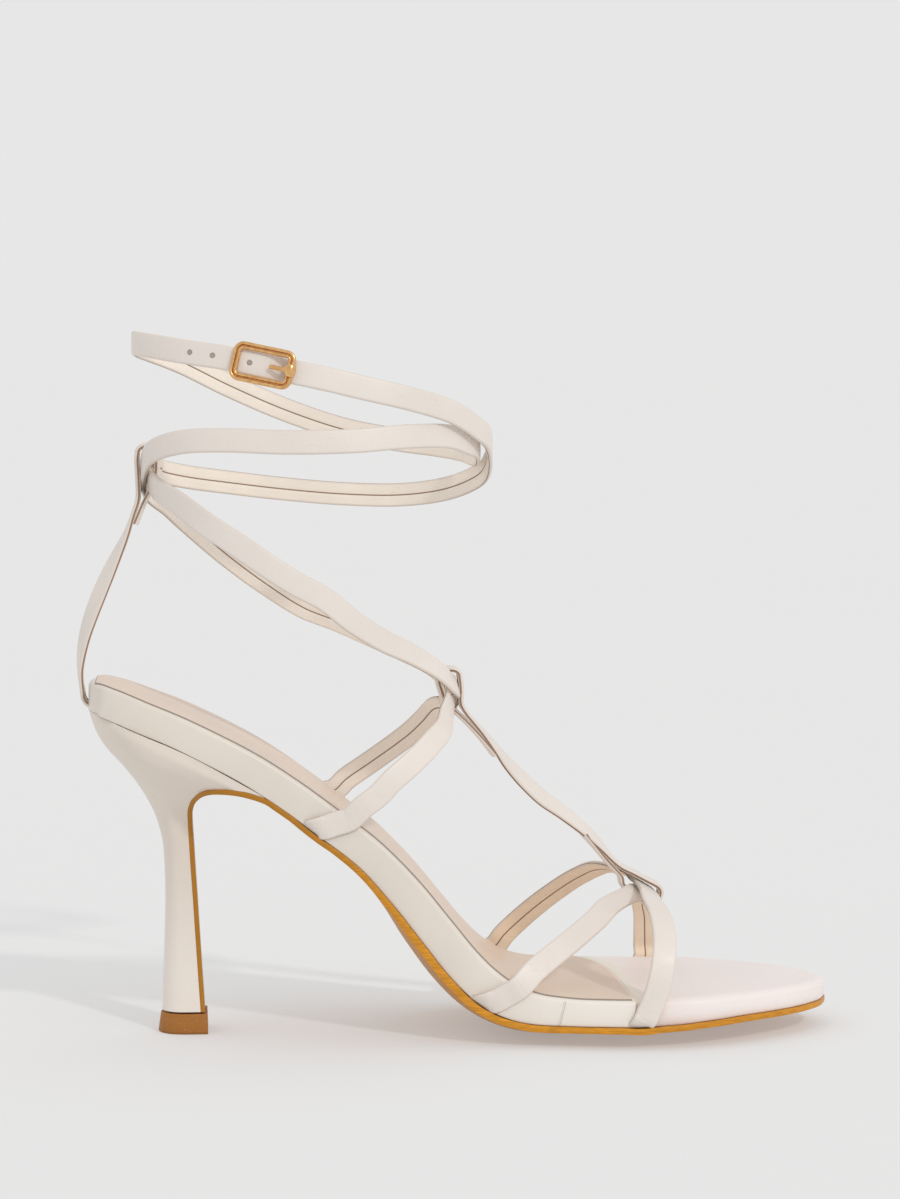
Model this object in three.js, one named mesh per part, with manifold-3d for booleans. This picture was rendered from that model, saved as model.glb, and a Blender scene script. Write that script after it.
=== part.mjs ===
// Ankle strap sandal for the right foot, standing on its sole.
// Millimetres, +X toward the toe, -Y toward the outer side of the foot, +Z up.
// The origin is on the floor under the ball of the foot.
import * as THREE from "three";
import Module from "manifold-3d";

const wasm = await Module();
wasm.setup();

// Sizes of the last and the sole
const LAST_LENGTH = 219.8; // top edge of the footbed, heel back to toe tip, level
const BALL_SHARE = 0.727; // place of the tread point along it
const SEAT_HEIGHT = 105; // top of the footbed at the heel, above the floor
const FORE_HEIGHT = 14.4; // top of the footbed at the ball, above the floor
const BALL_WIDTH = 76;
const SEAT_WIDTH = 53;
const RAND_DEPTH = 10; // footbed, top to bottom, square to its top
const RAND_ROUND = 1.1;
const SOCK_THICKNESS = 0.8;
const SOCK_INSET = 1.2;
const OUTSOLE_THICKNESS = 2;
const BELLY_DEPTH = 4.2; // how far the underside swells below its edges
const GAP = 0.3; // between pieces that touch

// Sizes of the heel
const HEEL_LENGTH = 50;
const HEEL_BREADTH = 52;
const TIP_HEIGHT = 6.3;
const TIP_LENGTH = 12.6;
const TIP_WIDTH = 13.2;
const TIP_FLARE = 0.8;

// Sizes of the straps
const STRAP_WIDTH = 7.1;
const STRAP_THICKNESS = 1.6;
const STRAP_EDGE = 0.35;
const TUCK_LENGTH = 7;
const ANKLE_WIDTH = 64;
const WRAP_HEIGHT = 100; // heel seat to the top of the wraps
const STRAP_STEP = 8; // longest facet of the long straps
const SHORT_STEP = 5; // and of the short ones

// Sizes of the buckle
const BUCKLE_LENGTH = 18.3;
const BUCKLE_WIDTH = 11.4;
const BUCKLE_BAR = 1.8;
const BUCKLE_THICKNESS = 1.8;
const PRONG_LENGTH = 5.4;
const PRONG_WIDTH = 1.3;

const HEEL_X = -BALL_SHARE * LAST_LENGTH;
const alongX = (share) => HEEL_X + share * LAST_LENGTH;

// Top edge of the footbed in side view, and what follows it.
// along: share of LAST_LENGTH. rise: share of the height of the seat above the ball.
// depth: share of RAND_DEPTH. belly: share of BELLY_DEPTH. skin: share of OUTSOLE_THICKNESS.
const PROFILE = [
  { along: 0.0, rise: 1.003, depth: 0.88, belly: 0.0, skin: 0.5 },
  { along: 0.016, rise: 1.002, depth: 0.9, belly: 0.0, skin: 0.5 },
  { along: 0.0355, rise: 0.99, depth: 0.93, belly: 0.0, skin: 0.5 },
  { along: 0.0855, rise: 0.9437, depth: 0.94, belly: 0.0, skin: 0.5 },
  { along: 0.1219, rise: 0.9084, depth: 0.94, belly: 0.0, skin: 0.5 },
  { along: 0.1743, rise: 0.848, depth: 0.95, belly: 0.0, skin: 0.5 },
  { along: 0.2284, rise: 0.777, depth: 0.96, belly: 0.02, skin: 0.5 },
  { along: 0.2812, rise: 0.692, depth: 0.96, belly: 0.12, skin: 0.6 },
  { along: 0.3312, rise: 0.6015, depth: 0.97, belly: 0.22, skin: 0.7 },
  { along: 0.3844, rise: 0.501, depth: 0.98, belly: 0.16, skin: 0.85 },
  { along: 0.4373, rise: 0.371, depth: 1.05, belly: 0.36, skin: 1.0 },
  { along: 0.4804, rise: 0.243, depth: 1.08, belly: 0.66, skin: 1.15 },
  { along: 0.5159, rise: 0.138, depth: 1.1, belly: 0.78, skin: 1.15 },
  { along: 0.5378, rise: 0.0861, depth: 1.1, belly: 0.86, skin: 1.1 },
  { along: 0.5587, rise: 0.0497, depth: 1.06, belly: 0.94, skin: 1.05 },
  { along: 0.5814, rise: 0.0243, depth: 0.98, belly: 1.0, skin: 1.0 },
  { along: 0.6087, rise: 0.0088, depth: 0.88, belly: 1.0, skin: 1.0 },
  { along: 0.6545, rise: 0.001, depth: 0.81, belly: 1.0, skin: 0.95 },
  { along: 0.727, rise: 0.0, depth: 0.8, belly: 1.06, skin: 0.95 },
  { along: 0.7729, rise: 0.0, depth: 0.76, belly: 1.12, skin: 0.85 },
  { along: 0.8223, rise: 0.001, depth: 0.7, belly: 1.12, skin: 0.75 },
  { along: 0.8815, rise: 0.001, depth: 0.63, belly: 0.95, skin: 0.75 },
  { along: 0.9408, rise: 0.0, depth: 0.62, belly: 0.55, skin: 0.75 },
  { along: 1., rise: -0.004, depth: 0.58, belly: 0.1, skin: 0.75 },
];

// Half widths of the footbed, outer side and inner side of the foot.
// The back third is a share of SEAT_WIDTH, the front of BALL_WIDTH, blended by fore.
const OUTLINE = [
  { along: 0.0, fore: 0.0, outer: 0.06, inner: 0.06 },
  { along: 0.0035, fore: 0.0, outer: 0.165, inner: 0.165 },
  { along: 0.0115, fore: 0.0, outer: 0.275, inner: 0.275 },
  { along: 0.026, fore: 0.0, outer: 0.366, inner: 0.366 },
  { along: 0.05, fore: 0.0, outer: 0.425, inner: 0.425 },
  { along: 0.0601, fore: 0.0, outer: 0.415, inner: 0.415 },
  { along: 0.0917, fore: 0.0, outer: 0.458, inner: 0.462 },
  { along: 0.1312, fore: 0.0, outer: 0.486, inner: 0.49 },
  { along: 0.1806, fore: 0.0, outer: 0.5, inner: 0.5 },
  { along: 0.2497, fore: 0.0, outer: 0.496, inner: 0.49 },
  { along: 0.3287, fore: 0.0, outer: 0.486, inner: 0.478 },
  { along: 0.4076, fore: 0.12, outer: 0.475, inner: 0.475 },
  { along: 0.4768, fore: 0.4, outer: 0.452, inner: 0.462 },
  { along: 0.536, fore: 0.75, outer: 0.425, inner: 0.455 },
  { along: 0.6051, fore: 1.0, outer: 0.447, inner: 0.48 },
  { along: 0.6643, fore: 1.0, outer: 0.484, inner: 0.51 },
  { along: 0.7236, fore: 1.0, outer: 0.502, inner: 0.512 },
  { along: 0.7729, fore: 1.0, outer: 0.492, inner: 0.488 },
  { along: 0.8223, fore: 1.0, outer: 0.458, inner: 0.45 },
  { along: 0.8717, fore: 1.0, outer: 0.4, inner: 0.392 },
  { along: 0.9111, fore: 1.0, outer: 0.332, inner: 0.33 },
  { along: 0.9457, fore: 1.0, outer: 0.257, inner: 0.262 },
  { along: 0.9724, fore: 1.0, outer: 0.18, inner: 0.19 },
  { along: 0.9901, fore: 1.0, outer: 0.103, inner: 0.112 },
  { along: 1., fore: 1.0, outer: 0.02, inner: 0.03 },
];

// Sections of the heel, from its tip to above the seat.
// back, front: share of HEEL_LENGTH from the heel's back. backUp, frontUp: share of SEAT_HEIGHT.
// breadth: share of HEEL_BREADTH. round: share of the section that its back curve takes.
const HEEL = [
  { back: 0.422, backUp: 0.0629, front: 0.656, frontUp: 0.0629, breadth: 0.26, round: 0.6 },
  { back: 0.432, backUp: 0.2, front: 0.64, frontUp: 0.21, breadth: 0.24, round: 0.62 },
  { back: 0.444, backUp: 0.381, front: 0.616, frontUp: 0.381, breadth: 0.244, round: 0.64 },
  { back: 0.436, backUp: 0.514, front: 0.598, frontUp: 0.522, breadth: 0.29, round: 0.64 },
  { back: 0.396, backUp: 0.605, front: 0.588, frontUp: 0.6, breadth: 0.38, round: 0.62 },
  { back: 0.334, backUp: 0.669, front: 0.588, frontUp: 0.643, breadth: 0.5, round: 0.6 },
  { back: 0.256, backUp: 0.726, front: 0.61, frontUp: 0.667, breadth: 0.62, round: 0.57 },
  { back: 0.176, backUp: 0.773, front: 0.65, frontUp: 0.684, breadth: 0.74, round: 0.54 },
  { back: 0.094, backUp: 0.817, front: 0.736, frontUp: 0.6914, breadth: 0.86, round: 0.5 },
  { back: 0.034, backUp: 0.867, front: 0.856, frontUp: 0.6943, breadth: 0.95, round: 0.47 },
  { back: 0.002, backUp: 0.924, front: 0.996, frontUp: 0.6971, breadth: 1.0, round: 0.45 },
  { back: 0.0, backUp: 0.975, front: 1.08, frontUp: 0.77, breadth: 1.0, round: 0.45 },
];

// Straps. along: share of LAST_LENGTH. side: share of half of ANKLE_WIDTH, plus toward the inner side.
// seat: share of the height of the seat above the ball. up: share of WRAP_HEIGHT on top of that.
// turn: heading of the outer face, 0 outer side, 90 toe, 180 inner side. tilt: how far it looks up.
const ANKLE_STRAP_A = [
  { along: 0.3618, side: -0.844, seat: 0.546, up: 0.0607, turn: 4, tilt: 2 },
  { along: 0.3832, side: -0.812, seat: 0.504, up: 0.1327, turn: 8, tilt: 6 },
  { along: 0.4007, side: -0.766, seat: 0.463, up: 0.2081, turn: 14, tilt: 12 },
  { along: 0.4212, side: -0.688, seat: 0.412, up: 0.2900, turn: 22, tilt: 18 },
  { along: 0.4413, side: -0.594, seat: 0.359, up: 0.3740, turn: 30, tilt: 22 },
  { along: 0.4577, side: -0.484, seat: 0.311, up: 0.4498, turn: 40, tilt: 24 },
  { along: 0.4734, side: -0.344, seat: 0.261, up: 0.5310, turn: 54, tilt: 20 },
  { along: 0.4786, side: -0.256, seat: 0.243, up: 0.5875, turn: 66, tilt: 20 },
  { along: 0.4834, side: -0.178, seat: 0.215, up: 0.6511, turn: 82, tilt: 14 },
  { along: 0.4841, side: -0.106, seat: 0.215, up: 0.6649, turn: 88, tilt: 14 },
  { along: 0.4837, side: 0.000, seat: 0.215, up: 0.6729, turn: 90, tilt: 14 },
  { along: 0.4823, side: 0.106, seat: 0.215, up: 0.6804, turn: 92, tilt: 14 },
  { along: 0.4775, side: 0.188, seat: 0.215, up: 0.6932, turn: 99, tilt: 15 },
  { along: 0.4641, side: 0.287, seat: 0.292, up: 0.6584, turn: 112, tilt: 20 },
  { along: 0.4209, side: 0.406, seat: 0.413, up: 0.6016, turn: 130, tilt: 20 },
  { along: 0.3743, side: 0.594, seat: 0.521, up: 0.5504, turn: 148, tilt: 16 },
  { along: 0.3340, side: 0.781, seat: 0.597, up: 0.5191, turn: 162, tilt: 12 },
  { along: 0.2918, side: 0.906, seat: 0.676, up: 0.4826, turn: 172, tilt: 8 },
  { along: 0.2409, side: 0.969, seat: 0.759, up: 0.4772, turn: 182, tilt: 6 },
  { along: 0.1857, side: 0.906, seat: 0.833, up: 0.5012, turn: 195, tilt: 5 },
  { along: 0.1311, side: 0.719, seat: 0.898, up: 0.5476, turn: 215, tilt: 4 },
  { along: 0.1043, side: 0.500, seat: 0.925, up: 0.5775, turn: 236, tilt: 3 },
  { along: 0.0814, side: 0.269, seat: 1.000, up: 0.5520, turn: 250, tilt: 2 },
  { along: 0.0751, side: 0.122, seat: 1.000, up: 0.5860, turn: 263, tilt: 1 },
  { along: 0.0737, side: 0.000, seat: 1.000, up: 0.6090, turn: 270, tilt: 1 },
  { along: 0.0751, side: -0.122, seat: 1.000, up: 0.6330, turn: 277, tilt: 1 },
  { along: 0.0814, side: -0.263, seat: 1.000, up: 0.6640, turn: 290, tilt: 2 },
  { along: 0.0965, side: -0.438, seat: 1.000, up: 0.6866, turn: 307.1, tilt: 5 },
  { along: 0.1317, side: -0.669, seat: 1.000, up: 0.7070, turn: 324.4, tilt: 8 },
  { along: 0.1865, side: -0.866, seat: 1.000, up: 0.7116, turn: 339.6, tilt: 10 },
  { along: 0.2602, side: -0.985, seat: 1.000, up: 0.7071, turn: 353.5, tilt: 11 },
  { along: 0.3463, side: -0.978, seat: 1.000, up: 0.7096, turn: 367.8, tilt: 11 },
  { along: 0.4256, side: -0.829, seat: 1.000, up: 0.7221, turn: 383.5, tilt: 10 },
  { along: 0.4772, side: -0.616, seat: 1.000, up: 0.7200, turn: 399.5, tilt: 8 },
  { along: 0.5055, side: -0.407, seat: 1.000, up: 0.6996, turn: 415.4, tilt: 5 },
  { along: 0.5198, side: -0.168, seat: 1.000, up: 0.6860, turn: 434.4, tilt: 2 },
  { along: 0.5227, side: -0.000, seat: 1.000, up: 0.6720, turn: 450, tilt: 0 },
  { along: 0.5203, side: 0.168, seat: 1.000, up: 0.6597, turn: 465.7, tilt: 0 },
  { along: 0.5055, side: 0.407, seat: 1.000, up: 0.6723, turn: 484.6, tilt: 0 },
  { along: 0.4736, side: 0.643, seat: 1.000, up: 0.6840, turn: 502.7, tilt: 1 },
  { along: 0.4206, side: 0.848, seat: 1.000, up: 0.6993, turn: 518.3, tilt: 2 },
  { along: 0.3473, side: 0.978, seat: 1.000, up: 0.7304, turn: 532.4, tilt: 3 },
  { along: 0.2671, side: 0.990, seat: 1.000, up: 0.7895, turn: 545, tilt: 4 },
  { along: 0.1896, side: 0.883, seat: 1.000, up: 0.8632, turn: 558.3, tilt: 4 },
  { along: 0.1249, side: 0.669, seat: 1.000, up: 0.9327, turn: 574.6, tilt: 3 },
  { along: 0.0841, side: 0.407, seat: 1.000, up: 0.9684, turn: 594.2, tilt: 2 },
  { along: 0.0671, side: 0.185, seat: 1.000, up: 0.9820, turn: 611.9, tilt: 0 },
  { along: 0.0628, side: 0.000, seat: 1.000, up: 0.9900, turn: 630, tilt: 0 },
  { along: 0.0671, side: -0.185, seat: 1.000, up: 0.9890, turn: 648.1, tilt: 2 },
  { along: 0.0875, side: -0.436, seat: 1.000, up: 0.9814, turn: 668.5, tilt: 6 },
  { along: 0.1305, side: -0.695, seat: 1.000, up: 0.9647, turn: 687.3, tilt: 9 },
  { along: 0.1822, side: -0.866, seat: 1.000, up: 0.9477, turn: 700.3, tilt: 10 },
  { along: 0.2328, side: -0.959, seat: 1.000, up: 0.9245, turn: 709.6, tilt: 10 },
  { along: 0.2470, side: -0.956, seat: 1.000, up: 0.9180, turn: 711.9, tilt: 10 },
  { along: 0.2626, side: -0.925, seat: 1.000, up: 0.9107, turn: 714.4, tilt: 10 },
  { along: 0.2915, side: -0.931, seat: 1.000, up: 0.8976, turn: 718.8, tilt: 10 },
  { along: 0.3385, side: -0.914, seat: 1.000, up: 0.8749, turn: 726, tilt: 10 },
  { along: 0.3834, side: -0.858, seat: 1.000, up: 0.8513, turn: 733.6, tilt: 10 },
];

const ANKLE_STRAP_B = [
  { along: 0.3489, side: 0.812, seat: 0.570, up: 0.0541, turn: 176, tilt: 2 },
  { along: 0.3807, side: 0.781, seat: 0.509, up: 0.1595, turn: 172, tilt: 6 },
  { along: 0.4094, side: 0.719, seat: 0.443, up: 0.2671, turn: 166, tilt: 12 },
  { along: 0.4363, side: 0.625, seat: 0.373, up: 0.3789, turn: 158, tilt: 18 },
  { along: 0.4546, side: 0.500, seat: 0.320, up: 0.4707, turn: 146, tilt: 22 },
  { along: 0.4696, side: 0.344, seat: 0.274, up: 0.5543, turn: 128, tilt: 22 },
  { along: 0.4823, side: 0.263, seat: 0.215, up: 0.6168, turn: 112, tilt: 18 },
  { along: 0.4943, side: 0.188, seat: 0.215, up: 0.6542, turn: 99, tilt: 14 },
  { along: 0.4939, side: 0.106, seat: 0.215, up: 0.6695, turn: 92, tilt: 14 },
  { along: 0.4934, side: 0.000, seat: 0.215, up: 0.6784, turn: 90, tilt: 14 },
  { along: 0.4919, side: -0.106, seat: 0.215, up: 0.6869, turn: 88, tilt: 14 },
  { along: 0.4857, side: -0.188, seat: 0.215, up: 0.6999, turn: 80, tilt: 14 },
  { along: 0.4695, side: -0.294, seat: 0.274, up: 0.6839, turn: 62, tilt: 20 },
  { along: 0.4304, side: -0.406, seat: 0.389, up: 0.6350, turn: 46, tilt: 20 },
  { along: 0.3918, side: -0.578, seat: 0.484, up: 0.5920, turn: 32, tilt: 16 },
  { along: 0.3510, side: -0.750, seat: 0.566, up: 0.5778, turn: 18, tilt: 12 },
  { along: 0.3137, side: -0.875, seat: 0.636, up: 0.5822, turn: 10, tilt: 8 },
  { along: 0.2729, side: -0.953, seat: 0.709, up: 0.5671, turn: 4, tilt: 6 },
  { along: 0.2339, side: -0.969, seat: 0.769, up: 0.5679, turn: -2, tilt: 5 },
  { along: 0.1964, side: -0.906, seat: 0.820, up: 0.5781, turn: -12, tilt: 4 },
  { along: 0.1575, side: -0.750, seat: 0.868, up: 0.5897, turn: -28, tilt: 4 },
  { along: 0.1207, side: -0.516, seat: 0.910, up: 0.6094, turn: -48, tilt: 3 },
  { along: 0.0951, side: -0.281, seat: 1.000, up: 0.5620, turn: -68, tilt: 2 },
  { along: 0.0848, side: -0.122, seat: 1.000, up: 0.5860, turn: -84, tilt: 1 },
  { along: 0.0837, side: 0.000, seat: 1.000, up: 0.6000, turn: -90, tilt: 1 },
  { along: 0.0848, side: 0.122, seat: 1.000, up: 0.6110, turn: -96, tilt: 1 },
  { along: 0.0946, side: 0.281, seat: 1.000, up: 0.6200, turn: -112, tilt: 2 },
  { along: 0.0974, side: 0.425, seat: 1.000, up: 0.6095, turn: -127.9, tilt: 2 },
  { along: 0.1303, side: 0.659, seat: 1.000, up: 0.5897, turn: -145, tilt: 3 },
  { along: 0.1915, side: 0.883, seat: 1.000, up: 0.5686, turn: -161.4, tilt: 4 },
  { along: 0.2671, side: 1.000, seat: 1.000, up: 0.5481, turn: -174.9, tilt: 4 },
  { along: 0.3482, side: 0.993, seat: 1.000, up: 0.5327, turn: -187.6, tilt: 4 },
  { along: 0.4247, side: 0.875, seat: 1.000, up: 0.5313, turn: -201.6, tilt: 3 },
  { along: 0.4820, side: 0.667, seat: 1.000, up: 0.5487, turn: -217.1, tilt: 2 },
  { along: 0.5180, side: 0.425, seat: 1.000, up: 0.5808, turn: -235, tilt: 1 },
  { along: 0.5347, side: 0.199, seat: 1.000, up: 0.6130, turn: -252.9, tilt: 0 },
  { along: 0.5391, side: -0.000, seat: 1.000, up: 0.6620, turn: -270, tilt: 0 },
  { along: 0.5347, side: -0.199, seat: 1.000, up: 0.7100, turn: -287.1, tilt: 1 },
  { along: 0.5180, side: -0.425, seat: 1.000, up: 0.7418, turn: -305, tilt: 3 },
  { along: 0.4816, side: -0.663, seat: 1.000, up: 0.7910, turn: -323.1, tilt: 6 },
  { along: 0.4247, side: -0.864, seat: 1.000, up: 0.8298, turn: -338.6, tilt: 9 },
  { along: 0.3562, side: -0.976, seat: 1.000, up: 0.8652, turn: -351.2, tilt: 10 },
  { along: 0.3075, side: -0.999, seat: 1.000, up: 0.8906, turn: -358.8, tilt: 10 },
  { along: 0.2651, side: -0.989, seat: 1.000, up: 0.9096, turn: -365.2, tilt: 10 },
];

const TOE_STRAP_A = [
  { along: 0.5606, side: -1.038, seat: 0.047, up: -0.0055, turn: 2, tilt: 4 },
  { along: 0.5869, side: -0.953, seat: 0.021, up: 0.0551, turn: 8, tilt: 18 },
  { along: 0.6175, side: -0.766, seat: 0.007, up: 0.1078, turn: 16, tilt: 32 },
  { along: 0.6501, side: -0.562, seat: 0.002, up: 0.1531, turn: 22, tilt: 44 },
  { along: 0.6782, side: -0.406, seat: 0.000, up: 0.1964, turn: 34, tilt: 54 },
  { along: 0.6989, side: -0.300, seat: 0.000, up: 0.2323, turn: 52, tilt: 60 },
  { along: 0.7306, side: -0.194, seat: 0.000, up: 0.2608, turn: 74, tilt: 60 },
  { along: 0.7393, side: -0.113, seat: 0.000, up: 0.2619, turn: 87, tilt: 60 },
  { along: 0.7432, side: 0.000, seat: 0.000, up: 0.2587, turn: 90, tilt: 60 },
  { along: 0.7459, side: 0.122, seat: 0.000, up: 0.2530, turn: 94, tilt: 60 },
  { along: 0.7571, side: 0.297, seat: 0.000, up: 0.2450, turn: 112, tilt: 58 },
  { along: 0.7621, side: 0.688, seat: 0.000, up: 0.1851, turn: 150, tilt: 46 },
  { along: 0.7691, side: 0.906, seat: 0.000, up: 0.1361, turn: 162, tilt: 34 },
  { along: 0.7721, side: 1.062, seat: 0.000, up: 0.0807, turn: 168, tilt: 20 },
  { along: 0.7745, side: 1.188, seat: 0.000, up: 0.0265, turn: 174, tilt: 10 },
];

const TOE_STRAP_B = [
  { along: 0.5719, side: 1.031, seat: 0.035, up: 0.0435, turn: 176, tilt: 12 },
  { along: 0.6069, side: 0.906, seat: 0.010, up: 0.1468, turn: 170, tilt: 24 },
  { along: 0.6411, side: 0.750, seat: 0.003, up: 0.2224, turn: 162, tilt: 36 },
  { along: 0.6712, side: 0.531, seat: 0.001, up: 0.2809, turn: 150, tilt: 48 },
  { along: 0.6979, side: 0.297, seat: 0.000, up: 0.3169, turn: 130, tilt: 58 },
  { along: 0.7316, side: 0.225, seat: 0.000, up: 0.3020, turn: 106, tilt: 60 },
  { along: 0.7442, side: 0.122, seat: 0.000, up: 0.2806, turn: 94, tilt: 60 },
  { along: 0.7490, side: 0.000, seat: 0.000, up: 0.2769, turn: 90, tilt: 60 },
  { along: 0.7517, side: -0.122, seat: 0.000, up: 0.2711, turn: 86, tilt: 60 },
  { along: 0.7525, side: -0.281, seat: 0.000, up: 0.2680, turn: 66, tilt: 58 },
  { along: 0.7516, side: -0.531, seat: 0.000, up: 0.2609, turn: 40, tilt: 50 },
  { along: 0.7572, side: -0.734, seat: 0.000, up: 0.2359, turn: 24, tilt: 42 },
  { along: 0.7593, side: -0.906, seat: 0.000, up: 0.2037, turn: 14, tilt: 30 },
  { along: 0.7596, side: -1.031, seat: 0.000, up: 0.1665, turn: 8, tilt: 20 },
  { along: 0.7599, side: -1.156, seat: 0.000, up: 0.1150, turn: 4, tilt: 8 },
];

const CENTRE_STRAP = [
  { along: 0.6679, seat: 0.001, up: 0.4311, twist: 6 },
  { along: 0.6843, seat: 0.000, up: 0.3900, twist: 2 },
  { along: 0.7008, seat: 0.000, up: 0.3459, twist: 0 },
  { along: 0.7107, seat: 0.000, up: 0.3137, twist: 0 },
  { along: 0.7116, seat: 0.000, up: 0.2825, twist: 0 },
  { along: 0.7188, seat: 0.000, up: 0.2641, twist: 0 },
  { along: 0.7386, seat: 0.000, up: 0.2391, twist: 0 },
  { along: 0.7554, seat: 0.000, up: 0.2189, twist: 0 },
  { along: 0.7626, seat: 0.000, up: 0.2204, twist: 0 },
  { along: 0.7702, seat: 0.000, up: 0.2370, twist: 0 },
  { along: 0.7729, seat: 0.000, up: 0.2598, twist: 0 },
  { along: 0.7699, seat: 0.000, up: 0.2743, twist: 0 },
  { along: 0.7533, seat: 0.000, up: 0.2952, twist: 0 },
  { along: 0.7349, seat: 0.000, up: 0.3173, twist: 0 },
  { along: 0.7199, seat: 0.000, up: 0.3386, twist: 0 },
  { along: 0.7072, seat: 0.000, up: 0.3645, twist: 0 },
  { along: 0.6975, seat: 0.000, up: 0.3900, twist: 3 },
  { along: 0.6797, seat: 0.000, up: 0.4289, twist: 10 },
  { along: 0.6397, seat: 0.003, up: 0.4952, twist: 18 },
  { along: 0.6106, seat: 0.008, up: 0.5363, twist: 20 },
  { along: 0.5833, seat: 0.023, up: 0.5799, twist: 16 },
  { along: 0.5637, seat: 0.044, up: 0.6081, twist: 8 },
  { along: 0.5500, seat: 0.065, up: 0.6294, twist: 4 },
  { along: 0.5318, seat: 0.100, up: 0.6478, twist: 0 },
  { along: 0.5170, seat: 0.133, up: 0.6556, twist: 0 },
  { along: 0.5084, seat: 0.158, up: 0.6628, twist: 0 },
  { along: 0.5064, seat: 0.163, up: 0.6845, twist: 0 },
  { along: 0.5030, seat: 0.173, up: 0.7169, twist: 0 },
  { along: 0.4993, seat: 0.184, up: 0.7363, twist: 0 },
  { along: 0.4973, seat: 0.189, up: 0.7494, twist: 0 },
  { along: 0.4917, seat: 0.205, up: 0.7446, twist: 0 },
  { along: 0.4807, seat: 0.237, up: 0.7161, twist: 0 },
  { along: 0.4710, seat: 0.269, up: 0.6753, twist: 0 },
  { along: 0.4681, seat: 0.278, up: 0.6523, twist: 0 },
  { along: 0.4736, seat: 0.260, up: 0.6216, twist: 0 },
  { along: 0.4792, seat: 0.241, up: 0.5951, twist: 0 },
  { along: 0.4882, seat: 0.215, up: 0.6062, twist: 0 },
  { along: 0.4992, seat: 0.184, up: 0.6169, twist: 0 },
  { along: 0.5095, seat: 0.154, up: 0.6220, twist: 0 },
  { along: 0.5247, seat: 0.116, up: 0.6199, twist: 0 },
  { along: 0.5409, seat: 0.081, up: 0.6090, twist: 4 },
];

const HEEL_STRAP = [
  { along: 0.0309, seat: 1.000, up: -0.0840, twist: 0 },
  { along: 0.0055, seat: 1.000, up: -0.0780, twist: 0 },
  { along: -0.0059, seat: 1.000, up: -0.0610, twist: 0 },
  { along: -0.0096, seat: 1.000, up: -0.0240, twist: 2 },
  { along: -0.0118, seat: 1.000, up: 0.0250, twist: 6 },
  { along: -0.0105, seat: 1.000, up: 0.0700, twist: 14 },
  { along: -0.0059, seat: 1.000, up: 0.1250, twist: 22 },
  { along: 0.0009, seat: 1.000, up: 0.1760, twist: 28 },
  { along: 0.0118, seat: 1.000, up: 0.2400, twist: 31 },
  { along: 0.0246, seat: 1.000, up: 0.3080, twist: 28 },
  { along: 0.0364, seat: 1.000, up: 0.3700, twist: 18 },
  { along: 0.0464, seat: 1.000, up: 0.4230, twist: 8 },
  { along: 0.0546, seat: 1.000, up: 0.4800, twist: 0 },
  { along: 0.0619, seat: 1.000, up: 0.5350, twist: 0 },
  { along: 0.0646, seat: 1.000, up: 0.5800, twist: 0 },
  { along: 0.0649, seat: 1.000, up: 0.6618, twist: 0 },
  { along: 0.0689, seat: 1.000, up: 0.6818, twist: 0 },
  { along: 0.0787, seat: 1.000, up: 0.6913, twist: 0 },
  { along: 0.0896, seat: 1.000, up: 0.6818, twist: 0 },
  { along: 0.0941, seat: 0.935, up: 0.7204, twist: 0 },
  { along: 0.0942, seat: 0.935, up: 0.6616, twist: 0 },
  { along: 0.0951, seat: 0.934, up: 0.6094, twist: 0 },
  { along: 0.0846, seat: 1.000, up: 0.5080, twist: 0 },
  { along: 0.0714, seat: 1.000, up: 0.4800, twist: 0 },
  { along: 0.0651, seat: 1.000, up: 0.4540, twist: 0 },
];

// Where each strap goes round the edge of the footbed and under it.
// under, over: share of LAST_LENGTH at the bottom and at the top edge. side: -1 outer, 1 inner.
const TUCKS = {
  ankleA: { under: 0.3346, over: 0.3425, side: -1 },
  ankleB: { under: 0.3326, over: 0.3405, side: 1 },
  ballOuter: { under: 0.5495, over: 0.5632, side: -1 },
  ballInner: { under: 0.5528, over: 0.5656, side: 1 },
  toeOuter: { under: 0.7361, over: 0.7561, side: -1 },
  toeInner: { under: 0.7710, over: 0.7748, side: 1 },
};

// The seam between the footbed and the toe bed runs back toward the inner side.
const TOE_SEAM = { along: 0.718, sweep: 3, curl: 10 };
const TOE_RECESS = 1.2; // how far the toe bed's side stands in
const BUCKLE_ROW = 52; // row of ANKLE_STRAP_A under the middle of the buckle

// Smooth curve through the rows of a table, read by the column "along".
function curve(rows, key) {
  const xs = rows.map((r) => r.along);
  const ys = rows.map((r) => r[key]);
  const n = xs.length;
  const d = xs.slice(1).map((x, i) => (ys[i + 1] - ys[i]) / (x - xs[i]));
  const m = ys.map((_, i) => {
    if (i === 0) return d[0];
    if (i === n - 1) return d[n - 2];
    if (d[i - 1] * d[i] <= 0) return 0;
    const h0 = xs[i] - xs[i - 1];
    const h1 = xs[i + 1] - xs[i];
    return (3 * (h0 + h1)) / ((2 * h1 + h0) / d[i - 1] + (h1 + 2 * h0) / d[i]);
  });
  return (x) => {
    let i = 0;
    while (i < n - 2 && x > xs[i + 1]) i++;
    const h = xs[i + 1] - xs[i];
    const t = THREE.MathUtils.clamp((x - xs[i]) / h, 0, 1);
    const a = (1 + 2 * t) * (1 - t) ** 2;
    const b = t * (1 - t) ** 2;
    const c = t * t * (3 - 2 * t);
    const e = t * t * (t - 1);
    return a * ys[i] + b * h * m[i] + c * ys[i + 1] + e * h * m[i + 1];
  };
}

const riseAt = curve(PROFILE, "rise");
const depthAt = curve(PROFILE, "depth");
const bellyAt = curve(PROFILE, "belly");
const skinAt = curve(PROFILE, "skin");
const foreAt = curve(OUTLINE, "fore");
const outerAt = curve(OUTLINE, "outer");
const innerAt = curve(OUTLINE, "inner");

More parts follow.
